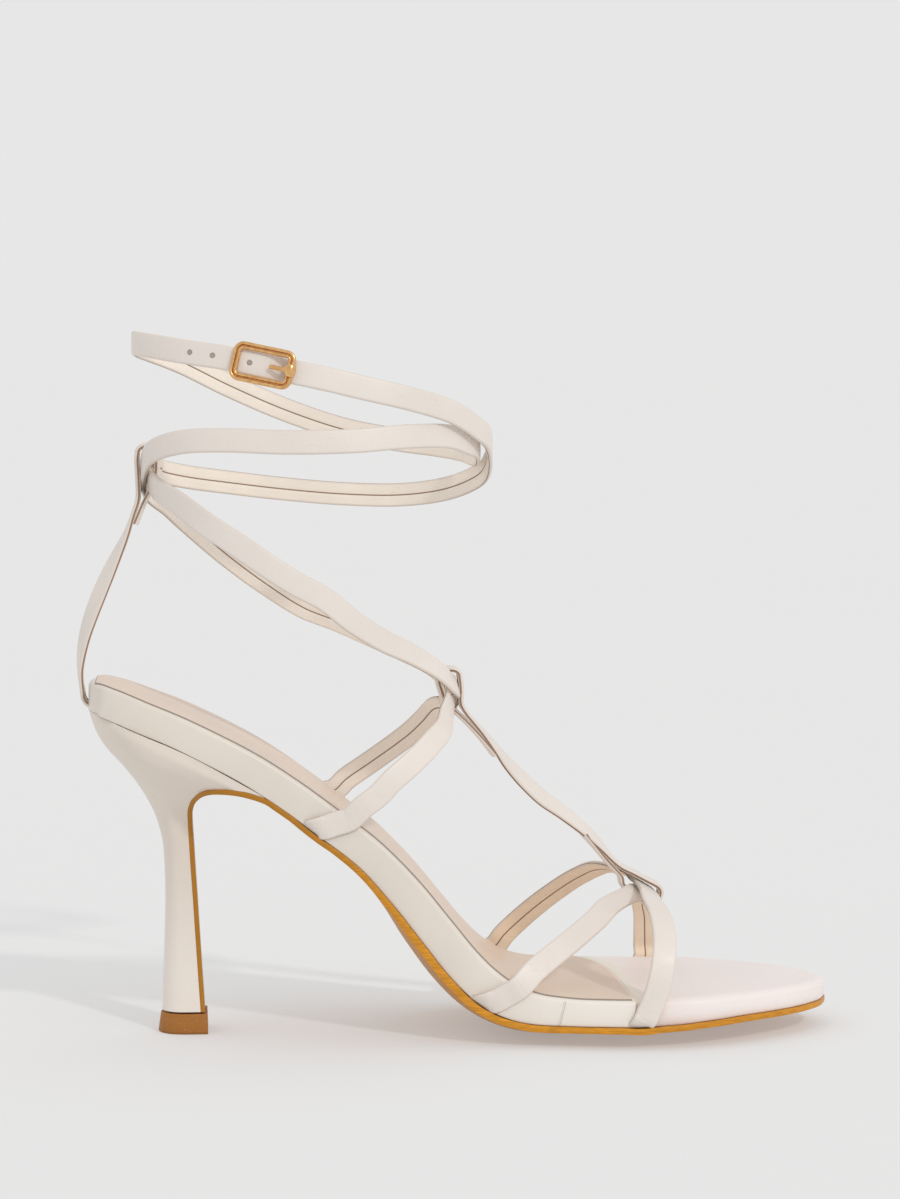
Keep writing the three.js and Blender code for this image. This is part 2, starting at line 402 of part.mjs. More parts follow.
// One cross section of the footbed: its top point, its square-up direction and its measures.
function section(along) {
  const lift = (s) => FORE_HEIGHT + riseAt(s) * (SEAT_HEIGHT - FORE_HEIGHT);
  const before = Math.max(0, along - 0.002);
  const after = Math.min(1, along + 0.002);
  const slope = (lift(after) - lift(before)) / ((after - before) * LAST_LENGTH);
  const tangent = new THREE.Vector3(1, 0, slope).normalize();
  const width = THREE.MathUtils.lerp(SEAT_WIDTH, BALL_WIDTH, foreAt(along));
  return {
    along,
    top: new THREE.Vector3(alongX(along), 0, lift(along)),
    normal: new THREE.Vector3(-tangent.z, 0, tangent.x),
    tangent,
    outer: width * outerAt(along),
    inner: width * innerAt(along),
    depth: RAND_DEPTH * depthAt(along),
    belly: BELLY_DEPTH * bellyAt(along),
    skin: OUTSOLE_THICKNESS * skinAt(along),
  };
}

// A point of a section: q across, plus toward the inner side, and n up from the top edge.
const inSection = (s, q, n) =>
  new THREE.Vector3(0, q, 0).add(s.top).addScaledVector(s.normal, n);

// How far the underside hangs below its edges at q.
function swell(s, q) {
  const half = q < 0 ? s.outer : s.inner;
  const u = Math.min(1, Math.abs(q) / Math.max(half, 1e-6));
  return s.belly * (1 - u * u);
}

function solid(positions, faces) {
  const a = new THREE.Vector3();
  const b = new THREE.Vector3();
  const c = new THREE.Vector3();
  let volume = 0;
  for (const [i, j, k] of faces) {
    a.copy(positions[i]);
    b.copy(positions[j]);
    c.copy(positions[k]);
    volume += a.dot(b.cross(c));
  }
  const index = faces.flatMap(([i, j, k]) => (volume > 0 ? [i, j, k] : [i, k, j]));
  const geometry = new THREE.BufferGeometry().setFromPoints(positions);
  geometry.setIndex(index);
  return geometry;
}

// Solid through rings of the same number of points, closed by a fan at each end.
function ringLoft(rings) {
  const count = rings[0].length;
  const positions = rings.flat();
  const faces = [];
  for (let r = 0; r < rings.length - 1; r++) {
    for (let i = 0; i < count; i++) {
      const j = (i + 1) % count;
      const p = r * count;
      faces.push([p + i, p + j, p + count + j], [p + i, p + count + j, p + count + i]);
    }
  }
  const last = (rings.length - 1) * count;
  for (let i = 1; i < count - 1; i++) {
    faces.push([0, i + 1, i], [last, last + i, last + i + 1]);
  }
  return solid(positions, faces);
}

// Solid between an upper and a lower row of points at each station.
function slabLoft(stations) {
  const across = stations[0].upper.length;
  const ring = 2 * across;
  const positions = stations.flatMap((s) => [...s.upper, ...[...s.lower].reverse()]);
  const faces = [];
  for (let r = 0; r < stations.length - 1; r++) {
    for (let i = 0; i < ring; i++) {
      const j = (i + 1) % ring;
      const p = r * ring;
      faces.push([p + i, p + j, p + ring + j], [p + i, p + ring + j, p + ring + i]);
    }
  }
  const last = (stations.length - 1) * ring;
  for (let i = 0; i < across - 1; i++) {
    const u = i;
    const v = i + 1;
    const w = ring - 2 - i;
    const z = ring - 1 - i;
    faces.push([u, w, v], [u, z, w]);
    faces.push([last + u, last + v, last + w], [last + u, last + w, last + z]);
  }
  return solid(positions, faces);
}

function toManifold(geometry) {
  const flat = geometry.index ? geometry.toNonIndexed() : geometry;
  const points = flat.getAttribute("position");
  const seen = new Map();
  const vertices = [];
  const triangles = [];
  for (let i = 0; i < points.count; i++) {
    const p = [points.getX(i), points.getY(i), points.getZ(i)];
    const key = p.map((v) => Math.round(v * 1e4)).join(",");
    if (!seen.has(key)) {
      seen.set(key, vertices.length / 3);
      vertices.push(...p);
    }
    triangles.push(seen.get(key));
  }
  const kept = [];
  for (let i = 0; i < triangles.length; i += 3) {
    const [a, b, c] = triangles.slice(i, i + 3);
    if (a !== b && b !== c && c !== a) kept.push(a, b, c);
  }
  const mesh = new wasm.Mesh({
    numProp: 3,
    vertProperties: new Float32Array(vertices),
    triVerts: new Uint32Array(kept),
  });
  return new wasm.Manifold(mesh);
}

function fromManifold(body) {
  const mesh = body.getMesh();
  const geometry = new THREE.BufferGeometry();
  const position = new THREE.BufferAttribute(mesh.vertProperties, 3);
  geometry.setAttribute("position", position);
  geometry.setIndex(new THREE.BufferAttribute(mesh.triVerts, 1));
  return geometry;
}

// Shares along the footbed, close together at both round ends.
function spread(from, to, count, backRound, foreRound) {
  return Array.from({ length: count + 1 }, (_, i) => {
    const t = i / count;
    const ease = (1 - Math.cos(Math.PI * t)) / 2;
    const start = backRound ? ease : t;
    const end = foreRound ? ease : t;
    const share = THREE.MathUtils.lerp(start, end, t);
    return from + (to - from) * share;
  });
}

// Across the footbed: flat in the middle and rounded down at each edge.
const ACROSS = [-1, -0.985, -0.93, -0.66, -0.33, 0, 0.33, 0.66, 0.93, 0.985, 1];

// How far a cross section's points move along the shoe to follow the toe seam.
function seamShift(s, q, fade) {
  const u = THREE.MathUtils.clamp((q + s.outer) / (s.outer + s.inner), 0, 1);
  return -(TOE_SEAM.sweep * u ** 2 + TOE_SEAM.curl * u ** 8) * fade;
}

function bedStation(along, drop, inset, round, depthGrow, fade) {
  const s = section(along);
  const shift = (p, q) => p.addScaledVector(s.tangent, seamShift(s, q, fade));
  const upper = ACROSS.map((u) => {
    const q = u * ((u < 0 ? s.outer : s.inner) - inset);
    const edge = Math.max(0, (Math.abs(u) - 0.93) / 0.07);
    const n = -drop - round * edge * edge;
    return shift(inSection(s, q, n), q);
  });
  const lower = ACROSS.map((u) => {
    const q = u * ((u < 0 ? s.outer : s.inner) - inset);
    return shift(inSection(s, q, -s.depth - depthGrow - swell(s, q)), q);
  });
  return { upper, lower };
}

const smooth = (a, b, x) => THREE.MathUtils.smoothstep(x, a, b);

// Stations that the footbed, the toe bed and the outsole share.
const TOE_START = TOE_SEAM.along + GAP / LAST_LENGTH;
const HEEL_JOIN = 0.256; // where the outsole leaves the heel for the footbed
const STATIONS = [
  ...spread(0, TOE_SEAM.along, 34, true, false),
  ...spread(TOE_START, 1, 17, false, true),
];

function footbedSolid() {
  const shares = STATIONS.filter((a) => a <= TOE_SEAM.along);
  const stations = shares.map((a) => {
    const fade = smooth(TOE_SEAM.along - 0.1, TOE_SEAM.along, a);
    return bedStation(a, SOCK_THICKNESS + GAP, 0, RAND_ROUND, 0, fade);
  });
  return slabLoft(stations);
}

function toeBedSolid() {
  const start = TOE_START;
  const shares = STATIONS.filter((a) => a >= start);
  const stations = shares.map((a) => {
    const fade = 1 - smooth(start, start + 0.09, a);
    const recess = TOE_RECESS * (1 - 0.6 * smooth(start + 0.05, start + 0.1, a));
    const s = section(a);
    const inset = Math.min(recess, 0.3 * Math.min(s.outer, s.inner));
    return bedStation(a, 0, inset, 1.6, 0, fade);
  });
  return slabLoft(stations);
}

function sockSolid() {
  const shares = spread(0.006, TOE_SEAM.along, 34, true, false);
  const stations = shares.map((a) => {
    const s = section(a);
    const fade = smooth(TOE_SEAM.along - 0.1, TOE_SEAM.along, a);
    const inset = Math.min(SOCK_INSET, 0.3 * s.outer);
    const across = [-1, -0.6, -0.2, 0.2, 0.6, 1];
    const at = (u, n) => {
      const q = u * ((u < 0 ? s.outer : s.inner) - inset);
      return inSection(s, q, n).addScaledVector(s.tangent, seamShift(s, q, fade));
    };
    const upper = across.map((u) => at(u, 0));
    const lower = across.map((u) => at(u, -SOCK_THICKNESS));
    return { upper, lower };
  });
  return slabLoft(stations);
}

// The heel's front and back points at a row of its table.
const heelPoint = (row, end) =>
  new THREE.Vector3(HEEL_BACK_X + row[end] * HEEL_LENGTH, 0, row[`${end}Up`] * SEAT_HEIGHT);

const SEAT_SECTION = section(0);
const HEEL_BACK_X =
  SEAT_SECTION.top.x - SEAT_SECTION.normal.x * SEAT_SECTION.depth;

function heelRing(row) {
  const back = heelPoint(row, "back");
  const front = heelPoint(row, "front");
  const half = (row.breadth * HEEL_BREADTH) / 2;
  const steps = 9;
  const side = Array.from({ length: steps + 1 }, (_, i) => {
    const c = 1 - Math.cos((Math.PI / 2) * (i / steps));
    const u = Math.max(0, 1 - c / row.round);
    return { c, w: half * Math.sqrt(Math.max(0, 1 - u ** 2.2)) };
  });
  const at = (c, w) => new THREE.Vector3().lerpVectors(back, front, c).setY(w);
  const outer = side.slice(1).map(({ c, w }) => at(c, -w));
  const inner = side.slice(1).map(({ c, w }) => at(c, w));
  return [at(0, 0), ...inner, ...outer.reverse()];
}

// Everything above the footbed's underside near the heel, with its gap.
function seatCutter() {
  const shares = spread(0, 0.34, 16, true, false);
  const stations = shares.map((a) => {
    const s = section(a);
    const wide = SEAT_WIDTH;
    const q = [-wide, ...ACROSS.map((u) => u * (u < 0 ? s.outer : s.inner)), wide];
    const upper = q.map((v) => inSection(s, v, SEAT_WIDTH));
    const lower = q.map((v) => inSection(s, v, -s.depth - GAP - swell(s, v)));
    return { upper, lower };
  });
  const rear = section(0);
  const behind = stations[0];
  const move = (p) => p.clone().addScaledVector(rear.tangent, -HEEL_LENGTH / 2);
  const first = { upper: behind.upper.map(move), lower: behind.lower.map(move) };
  return slabLoft([first, ...stations]);
}

function heelSolid() {
  const loft = toManifold(ringLoft(HEEL.map(heelRing)));
  return fromManifold(loft.subtract(toManifold(seatCutter())));
}

function heelTipSolid() {
  const foot = HEEL[0];
  const back = heelPoint(foot, "back");
  const outline = (grow, z) => {
    const length = TIP_LENGTH + grow;
    const half = (TIP_WIDTH + grow) / 2;
    const x0 = back.x - grow / 2;
    const corner = 0.62;
    const steps = 9;
    const side = Array.from({ length: steps + 1 }, (_, i) => {
      const c = 1 - Math.cos((Math.PI / 2) * (i / steps));
      const u = Math.max(0, 1 - c / corner);
      return { x: x0 + c * length, w: half * Math.sqrt(1 - u ** 2.6) };
    });
    const inner = side.slice(1).map(({ x, w }) => new THREE.Vector3(x, w, z));
    const outer = side.slice(1).map(({ x, w }) => new THREE.Vector3(x, -w, z));
    return [new THREE.Vector3(x0, 0, z), ...inner, ...outer.reverse()];
  };
  return ringLoft([outline(TIP_FLARE, 0), outline(0, TIP_HEIGHT - GAP)]);
}

// The outsole runs up the front of the heel and on under the footbed.
function outsoleStations() {
  const across = [-1, -0.66, -0.33, 0, 0.33, 0.66, 1];
  const rows = HEEL.slice(0, -1);
  const fronts = rows.map((r) => heelPoint(r, "front"));
  const shares = STATIONS.filter((a) => a > HEEL_JOIN);
  const join = section(shares[0]);
  const flap = fronts.map((p, i) => {
    const prev = fronts[Math.max(0, i - 1)];
    const next = fronts[i + 1] ?? inSection(join, 0, -join.depth - GAP);
    const t = new THREE.Vector3().subVectors(next, prev).normalize();
    const away = new THREE.Vector3(t.z, 0, -t.x);
    const half = (rows[i].breadth * HEEL_BREADTH) / 2;
    const skin = OUTSOLE_THICKNESS * 0.5;
    const at = (u, d) => p.clone().addScaledVector(away, d).setY(u * half);
    return {
      upper: across.map((u) => at(u, GAP)),
      lower: across.map((u) => at(u, GAP + skin)),
    };
  });
  const under = shares.map((a) => {
    const s = section(a);
    const edge = 0.4 * smooth(0.95, 0.85, a) + 0.3;
    const q = (u) => u * ((u < 0 ? s.outer : s.inner) + edge * smooth(0.3, 0.45, a));
    const n = (v) => -s.depth - GAP - swell(s, v);
    return {
      upper: across.map((u) => inSection(s, q(u), n(q(u)))),
      lower: across.map((u) => inSection(s, q(u) * 0.992, n(q(u)) - s.skin)),
    };
  });
  return [...flap, ...under];
}

// Rows of a strap to points, with the way that its outer face looks.
function strapRow(row) {
  const seat = FORE_HEIGHT + row.seat * (SEAT_HEIGHT - FORE_HEIGHT);
  const turn = THREE.MathUtils.degToRad(row.turn);
  const tilt = THREE.MathUtils.degToRad(row.tilt);
  const flat = Math.cos(tilt);
  const point = new THREE.Vector3(
    alongX(row.along),
    (row.side * ANKLE_WIDTH) / 2,
    seat + row.up * WRAP_HEIGHT,
  );
  const out = new THREE.Vector3(
    Math.sin(turn) * flat,
    -Math.cos(turn) * flat,
    Math.sin(tilt),
  );
  return { point, out };
}

// The part of a strap that goes round the footbed's edge, from its hidden end upward.
function tuckRows(tuck) {
  const low = section(tuck.under);
  const high = section(tuck.over);
  const mid = section((tuck.under + tuck.over) / 2);
  const half = (s) => (tuck.side < 0 ? s.outer : s.inner);
  const skin = STRAP_THICKNESS / 2;
  const rest = GAP + skin;
  const place = (s, q, n) => inSection(s, tuck.side * q, n);
  const bottom = (s, q) => -s.depth - swell(s, tuck.side * q) + skin;
  const sideways = new THREE.Vector3(0, tuck.side, 0);
  const down = (s) => s.normal.clone().negate();
  const cornerOut = down(low).add(sideways).normalize();
  const inner = half(low) - TUCK_LENGTH;
  const nearEdge = half(low) - 1.6;
  return [
    { point: place(low, inner, bottom(low, inner)), out: down(low) },
    { point: place(low, nearEdge, bottom(low, nearEdge)), out: down(low) },
    { point: place(low, half(low) + rest * 0.6, -low.depth + skin + 0.9), out: cornerOut },
    { point: place(low, half(low) + rest, -low.depth * 0.68), out: sideways },
    { point: place(mid, half(mid) + rest, -mid.depth * 0.38), out: sideways },
    { point: place(high, half(high) + rest - 0.1, -0.6), out: sideways },
  ];
}

// Points along the straps, closer where the rows are close.
function fillRows(rows, step) {
  const points = rows.map((r) => r.point);
  const path = new THREE.CatmullRomCurve3(points, false, "centripetal");
  const filled = [];
  const parts = rows.length - 1;
  for (let i = 0; i < parts; i++) {
    const gap = points[i].distanceTo(points[i + 1]);
    const bend = rows[i].out.angleTo(rows[i + 1].out);
    const cuts = Math.max(1, Math.ceil(gap / step), Math.ceil(bend / 0.6));
    for (let k = 0; k < cuts; k++) {
      const f = k / cuts;
      const out = rows[i].out.clone().lerp(rows[i + 1].out, f);
      filled.push({ point: path.getPoint((i + f) / parts), out });
    }
  }
  filled.push({ point: points[parts].clone(), out: rows[parts].out.clone() });
  return filled;
}

function frames(filled) {
  return filled.map(({ point, out }, i) => {
    const before = filled[Math.max(0, i - 1)].point;
    const after = filled[Math.min(filled.length - 1, i + 1)].point;
    const tangent = new THREE.Vector3().subVectors(after, before).normalize();
    const normal = out.clone().addScaledVector(tangent, -out.dot(tangent)).normalize();
    const wide = new THREE.Vector3().crossVectors(normal, tangent);
    return { point, tangent, normal, wide };
  });
}

// A flat strap with its outer edges eased, grown by the given clearance.
function ribbon(rows, grow = 0, step = STRAP_STEP, outward = 0) {
  const w = STRAP_WIDTH / 2 + grow;
  const b = -STRAP_THICKNESS / 2 - grow;
  const t = STRAP_THICKNESS / 2 + grow + outward;
  const e = STRAP_EDGE;
  const outline = [[-w, b], [w, b], [w, t - e], [w - e, t], [e - w, t], [-w, t - e]];
  const rings = frames(fillRows(rows, step)).map((f) =>
    outline.map(([x, y]) =>
      f.point.clone().addScaledVector(f.wide, x).addScaledVector(f.normal, y),
    ),
  );
  return ringLoft(rings);
}

// Straps that lie in the middle plane: the outer face is square to the path, then twisted.
function planarRows(table, sign) {
  const points = table.map((row) => {
    const seat = FORE_HEIGHT + row.seat * (SEAT_HEIGHT - FORE_HEIGHT);
    return new THREE.Vector3(alongX(row.along), 0, seat + row.up * WRAP_HEIGHT);
  });
  return points.map((point, i) => {
    const before = points[Math.max(0, i - 1)];
    const after = points[Math.min(points.length - 1, i + 1)];
    const t = new THREE.Vector3().subVectors(after, before).normalize();
    const out = new THREE.Vector3(-t.z * sign, 0, t.x * sign);
    const twist = THREE.MathUtils.degToRad(table[i].twist);
    out.multiplyScalar(Math.cos(twist)).add(new THREE.Vector3(0, -Math.sin(twist), 0));
    return { point, out };
  });
}

const tucked = Object.fromEntries(
  Object.entries(TUCKS).map(([name, tuck]) => [name, tuckRows(tuck)]),
);
const rowsOf = (table) => table.map(strapRow);
const ankleA = [...tucked.ankleA, ...rowsOf(ANKLE_STRAP_A)];
const ankleB = [...tucked.ankleB, ...rowsOf(ANKLE_STRAP_B)];
const toeA = [
  ...tucked.ballOuter,
  ...rowsOf(TOE_STRAP_A),
  ...[...tucked.toeInner].reverse(),
];
const toeB = [
  ...tucked.ballInner,
  ...rowsOf(TOE_STRAP_B),
  ...[...tucked.toeOuter].reverse(),
];
const heelStrap = planarRows(HEEL_STRAP, 1);
const centreStrap = planarRows(CENTRE_STRAP, -1);

// Room that the tucked ends need, cut from the footbed, the toe bed and the outsole.
function clearanceOf({ rows, step }, outward) {
  const first = rows[0];
  const second = rows[1];
  const back = new THREE.Vector3().subVectors(first.point, second.point).normalize();
  const start = {
    point: first.point.clone().addScaledVector(back, GAP),
    out: first.out.clone(),
  };
  return toManifold(ribbon([start, ...rows.slice(1)], GAP, step, outward));
}
const TUCKED_ROWS = 9;
const end = (rows, step) => ({ rows: rows.slice(0, TUCKED_ROWS), step });
const tuckedEnds = [
  end(ankleA, STRAP_STEP),
  end(ankleB, STRAP_STEP),
  end(toeA, SHORT_STEP),
  end(toeB, SHORT_STEP),
  end([...toeA].reverse(), SHORT_STEP),
  end([...toeB].reverse(), SHORT_STEP),
  end(heelStrap, SHORT_STEP),
];
function withClearance(geometry, outward) {
  const cut = (body, strap) => body.subtract(clearanceOf(strap, outward));
  return fromManifold(tuckedEnds.reduce(cut, toManifold(geometry)));
}

function outsoleSolid() {
  const body = toManifold(withClearance(slabLoft(outsoleStations()), 0));
  const floor = toManifold(
    new THREE.BoxGeometry(2 * LAST_LENGTH, 2 * BALL_WIDTH, 2 * BELLY_DEPTH).translate(
      0,
      0,
      -BELLY_DEPTH,
    ),
  );
  return fromManifold(body.subtract(floor));
}

function rounded(shape, length, width, radius) {
  const x = length / 2;
  const y = width / 2;
  shape.moveTo(x - radius, -y);
  shape.absarc(x - radius, -y + radius, radius, -Math.PI / 2, 0, false);
  shape.absarc(x - radius, y - radius, radius, 0, Math.PI / 2, false);
  shape.absarc(radius - x, y - radius, radius, Math.PI / 2, Math.PI, false);
  shape.absarc(radius - x, radius - y, radius, Math.PI, 1.5 * Math.PI, false);
  shape.closePath();
  return shape;
}

// Middle of the buckle on the strap: x toward the toe, y up the strap's width, z outward.
const buckleRow = tucked.ankleA.length + BUCKLE_ROW;
const buckleFrame = frames(ankleA.slice(buckleRow - 1, buckleRow + 2))[1];
function atBuckle(geometry) {
  const { point, tangent, normal } = buckleFrame;
  const across = new THREE.Vector3().crossVectors(normal, tangent);
  const basis = new THREE.Matrix4().makeBasis(tangent, across, normal);
  return geometry.applyMatrix4(basis.setPosition(point));
}
const BUCKLE_SEAT = STRAP_THICKNESS / 2 - 0.15;

function buckleSolid() {
  const bevel = 0.35;
  const shape = rounded(
    new THREE.Shape(),
    BUCKLE_LENGTH - 2 * bevel,
    BUCKLE_WIDTH - 2 * bevel,
    2.6,
  );
  const hole = rounded(
    new THREE.Path(),
    BUCKLE_LENGTH - 2 * BUCKLE_BAR + 2 * bevel,
    BUCKLE_WIDTH - 2 * BUCKLE_BAR + 2 * bevel,
    1.4,
  );
  shape.holes.push(hole);
  const geometry = new THREE.ExtrudeGeometry(shape, {
    depth: BUCKLE_THICKNESS - 2 * bevel,
    bevelThickness: bevel,
    bevelSize: bevel,
    bevelSegments: 1,
    curveSegments: 3,
  });
  geometry.deleteAttribute("normal");
  geometry.deleteAttribute("uv");
  geometry.translate(0, 0, BUCKLE_SEAT + bevel);
  return atBuckle(geometry);
}

function prongSolid() {
  const hinge = BUCKLE_LENGTH / 2 - BUCKLE_BAR - GAP;
  const geometry = new THREE.CapsuleGeometry(PRONG_WIDTH / 2, PRONG_LENGTH - PRONG_WIDTH, 3, 8);
  geometry.rotateZ(Math.PI / 2);
  const height = STRAP_THICKNESS / 2 + GAP + PRONG_WIDTH / 2;
  geometry.translate(hinge - PRONG_LENGTH / 2, 0, height);
  geometry.deleteAttribute("normal");
  geometry.deleteAttribute("uv");
  return atBuckle(geometry);
}

const CREAM = 0xe6ddd2;
const NUDE = 0xcbb9a8;
const PINK = 0xe3d6cf;
const TAN = 0xb4762e;
const GOLD = 0xc89a4b;

const group = new THREE.Group();
function add(name, geometry, color, metal = 0) {
  const material = new THREE.MeshStandardMaterial({ color, metalness: metal });
  const mesh = new THREE.Mesh(geometry, material);
  mesh.name = name;
  group.add(mesh);
}

add("footbed", withClearance(footbedSolid(), STRAP_THICKNESS), CREAM);
add("toe_bed", withClearance(toeBedSolid(), STRAP_THICKNESS), PINK);
add("sock", sockSolid(), NUDE);
add("outsole", outsoleSolid(), TAN);
add("heel", heelSolid(), CREAM);
add("heel_tip", heelTipSolid(), TAN);
add("ankle_strap_a", ribbon(ankleA), CREAM);
add("ankle_strap_b", ribbon(ankleB), CREAM);
add("toe_strap_a", ribbon(toeA, 0, SHORT_STEP), CREAM);
add("toe_strap_b", ribbon(toeB, 0, SHORT_STEP), CREAM);
add("centre_strap", ribbon(centreStrap, 0, SHORT_STEP), CREAM);
add("heel_strap", ribbon(heelStrap, 0, SHORT_STEP), CREAM);
add("buckle_frame", buckleSolid(), GOLD, 1);
add("buckle_prong", prongSolid(), GOLD, 1);

export default group;
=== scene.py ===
import math

import bpy
import numpy as np
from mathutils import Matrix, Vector


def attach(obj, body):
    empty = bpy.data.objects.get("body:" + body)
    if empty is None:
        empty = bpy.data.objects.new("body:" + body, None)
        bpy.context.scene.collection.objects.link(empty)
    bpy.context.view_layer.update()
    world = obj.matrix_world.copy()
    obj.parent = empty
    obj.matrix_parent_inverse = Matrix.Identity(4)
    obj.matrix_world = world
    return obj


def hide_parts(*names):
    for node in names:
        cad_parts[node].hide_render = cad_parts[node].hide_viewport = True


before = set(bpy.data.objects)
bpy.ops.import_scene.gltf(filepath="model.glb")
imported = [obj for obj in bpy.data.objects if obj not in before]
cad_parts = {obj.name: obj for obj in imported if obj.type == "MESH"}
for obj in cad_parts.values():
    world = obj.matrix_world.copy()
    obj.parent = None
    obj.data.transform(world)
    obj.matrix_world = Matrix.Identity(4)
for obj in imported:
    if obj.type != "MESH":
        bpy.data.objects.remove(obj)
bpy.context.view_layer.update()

bl_info = {
    "name": "Ankle strap sandal",
    "version": (1, 0, 0),
    "blender": (4, 5, 0),
    "location": "View3D > Sidebar > Sandal",
    "description": "Builds the leather, lining, sole and buckle of an ankle strap sandal",
    "category": "Mesh",
}

MM = 0.001
SIDEWAYS = np.array([0.0, 1.0, 0.0])

# The camera's place in metres, the way it looks, its focal length as a share of the
# picture's height, and the way the soft sun shines.
CAMERA_PLACE = (-0.1233, -1.0038, 0.202)
CAMERA_WAY = (0.0696, 0.9949, -0.0732)
FOCAL_SHARE = 3400.0 / 1199.0
SUN_WAY = (-0.45, 0.72, -0.62)

# Sizes of the last and the heel in millimetres: +X toward the toe, -Y the outer side, +Z up.
LAST_LENGTH = 219.8
BALL_SHARE = 0.727
SEAT_HEIGHT = 105.0
FORE_HEIGHT = 14.4
BALL_WIDTH = 76.0
SEAT_WIDTH = 53.0
RAND_DEPTH = 10.0
BELLY_DEPTH = 4.2
GAP = 0.3
HEEL_LENGTH = 50.0
HEEL_BREADTH = 52.0
TIP_HEIGHT = 6.3
TIP_LENGTH = 13.3
TIP_WIDTH = 13.2
TUCK_LENGTH = 7.0
HEEL_X = -BALL_SHARE * LAST_LENGTH
TOE_SEAM = 0.718
SEAM_SWEEP = 3.0
SEAM_CURL = 10.0

# Side view of the footbed: share of the length, rise, depth, belly and sole thickness.
PROFILE = [
    (0, 1.003, 0.88, 0, 0.5), (0.016, 1.002, 0.9, 0, 0.5), (0.0355, 0.99, 0.93, 0, 0.5),
    (0.0855, 0.9437, 0.94, 0, 0.5), (0.1219, 0.9084, 0.94, 0, 0.5), (0.1743, 0.848, 0.95, 0, 0.5),
    (0.2284, 0.777, 0.96, 0.02, 0.5), (0.2812, 0.692, 0.96, 0.12, 0.6),
    (0.3312, 0.6015, 0.97, 0.22, 0.7), (0.3844, 0.501, 0.98, 0.16, 0.85),
    (0.4373, 0.371, 1.05, 0.36, 1), (0.4804, 0.243, 1.08, 0.66, 1.15),
    (0.5159, 0.138, 1.1, 0.78, 1.15), (0.5378, 0.0861, 1.1, 0.86, 1.1),
    (0.5587, 0.0497, 1.06, 0.94, 1.05), (0.5814, 0.0243, 0.98, 1, 1), (0.6087, 0.0088, 0.88, 1, 1),
    (0.6545, 0.001, 0.81, 1, 0.95), (0.727, 0, 0.8, 1.06, 0.95), (0.7729, 0, 0.76, 1.12, 0.85),
    (0.8223, 0.001, 0.7, 1.12, 0.75), (0.8815, 0.001, 0.63, 0.95, 0.75),
    (0.9408, 0, 0.62, 0.55, 0.75), (1, -0.004, 0.58, 0.1, 0.75),
]

# Half widths of the footbed: share of the length, blend to the ball's width, outer, inner.
OUTLINE = [
    (0, 0, 0.06, 0.06), (0.0035, 0, 0.16, 0.16), (0.0115, 0, 0.258, 0.258),
    (0.0255, 0, 0.336, 0.336), (0.045, 0, 0.39, 0.39), (0.0675, 0, 0.43, 0.431),
    (0.0917, 0, 0.458, 0.462), (0.1312, 0, 0.486, 0.49), (0.1806, 0, 0.5, 0.5),
    (0.2497, 0, 0.496, 0.49), (0.3287, 0, 0.486, 0.478), (0.4076, 0.12, 0.475, 0.475),
    (0.4768, 0.4, 0.452, 0.462), (0.536, 0.75, 0.425, 0.455), (0.6051, 1, 0.447, 0.48),
    (0.6643, 1, 0.484, 0.51), (0.7236, 1, 0.502, 0.512), (0.7729, 1, 0.492, 0.488),
    (0.8223, 1, 0.458, 0.45), (0.8717, 1, 0.4, 0.392), (0.9111, 1, 0.332, 0.33),
    (0.9457, 1, 0.257, 0.262), (0.9724, 1, 0.18, 0.19), (0.9901, 1, 0.103, 0.112),
    (1, 1, 0.02, 0.03),
]

# Heel sections from its tip up: back, its height, front, its height, breadth, roundness.
HEEL = [
    (0.422, 0.0629, 0.65, 0.0629, 0.26, 0.6), (0.432, 0.2, 0.63, 0.21, 0.24, 0.62),
    (0.444, 0.381, 0.608, 0.381, 0.244, 0.64), (0.436, 0.514, 0.589, 0.525, 0.29, 0.64),
    (0.396, 0.605, 0.5792, 0.6265, 0.38, 0.62), (0.334, 0.669, 0.5935, 0.6642, 0.5, 0.6),
    (0.256, 0.726, 0.6186, 0.6848, 0.62, 0.57), (0.176, 0.773, 0.6539, 0.7011, 0.74, 0.54),
    (0.094, 0.817, 0.7121, 0.7128, 0.86, 0.5), (0.034, 0.867, 0.7958, 0.7159, 0.95, 0.47),
    (0.002, 0.924, 0.8995, 0.7112, 1, 0.45), (0, 0.975, 1.045, 0.69, 1, 0.45),
]

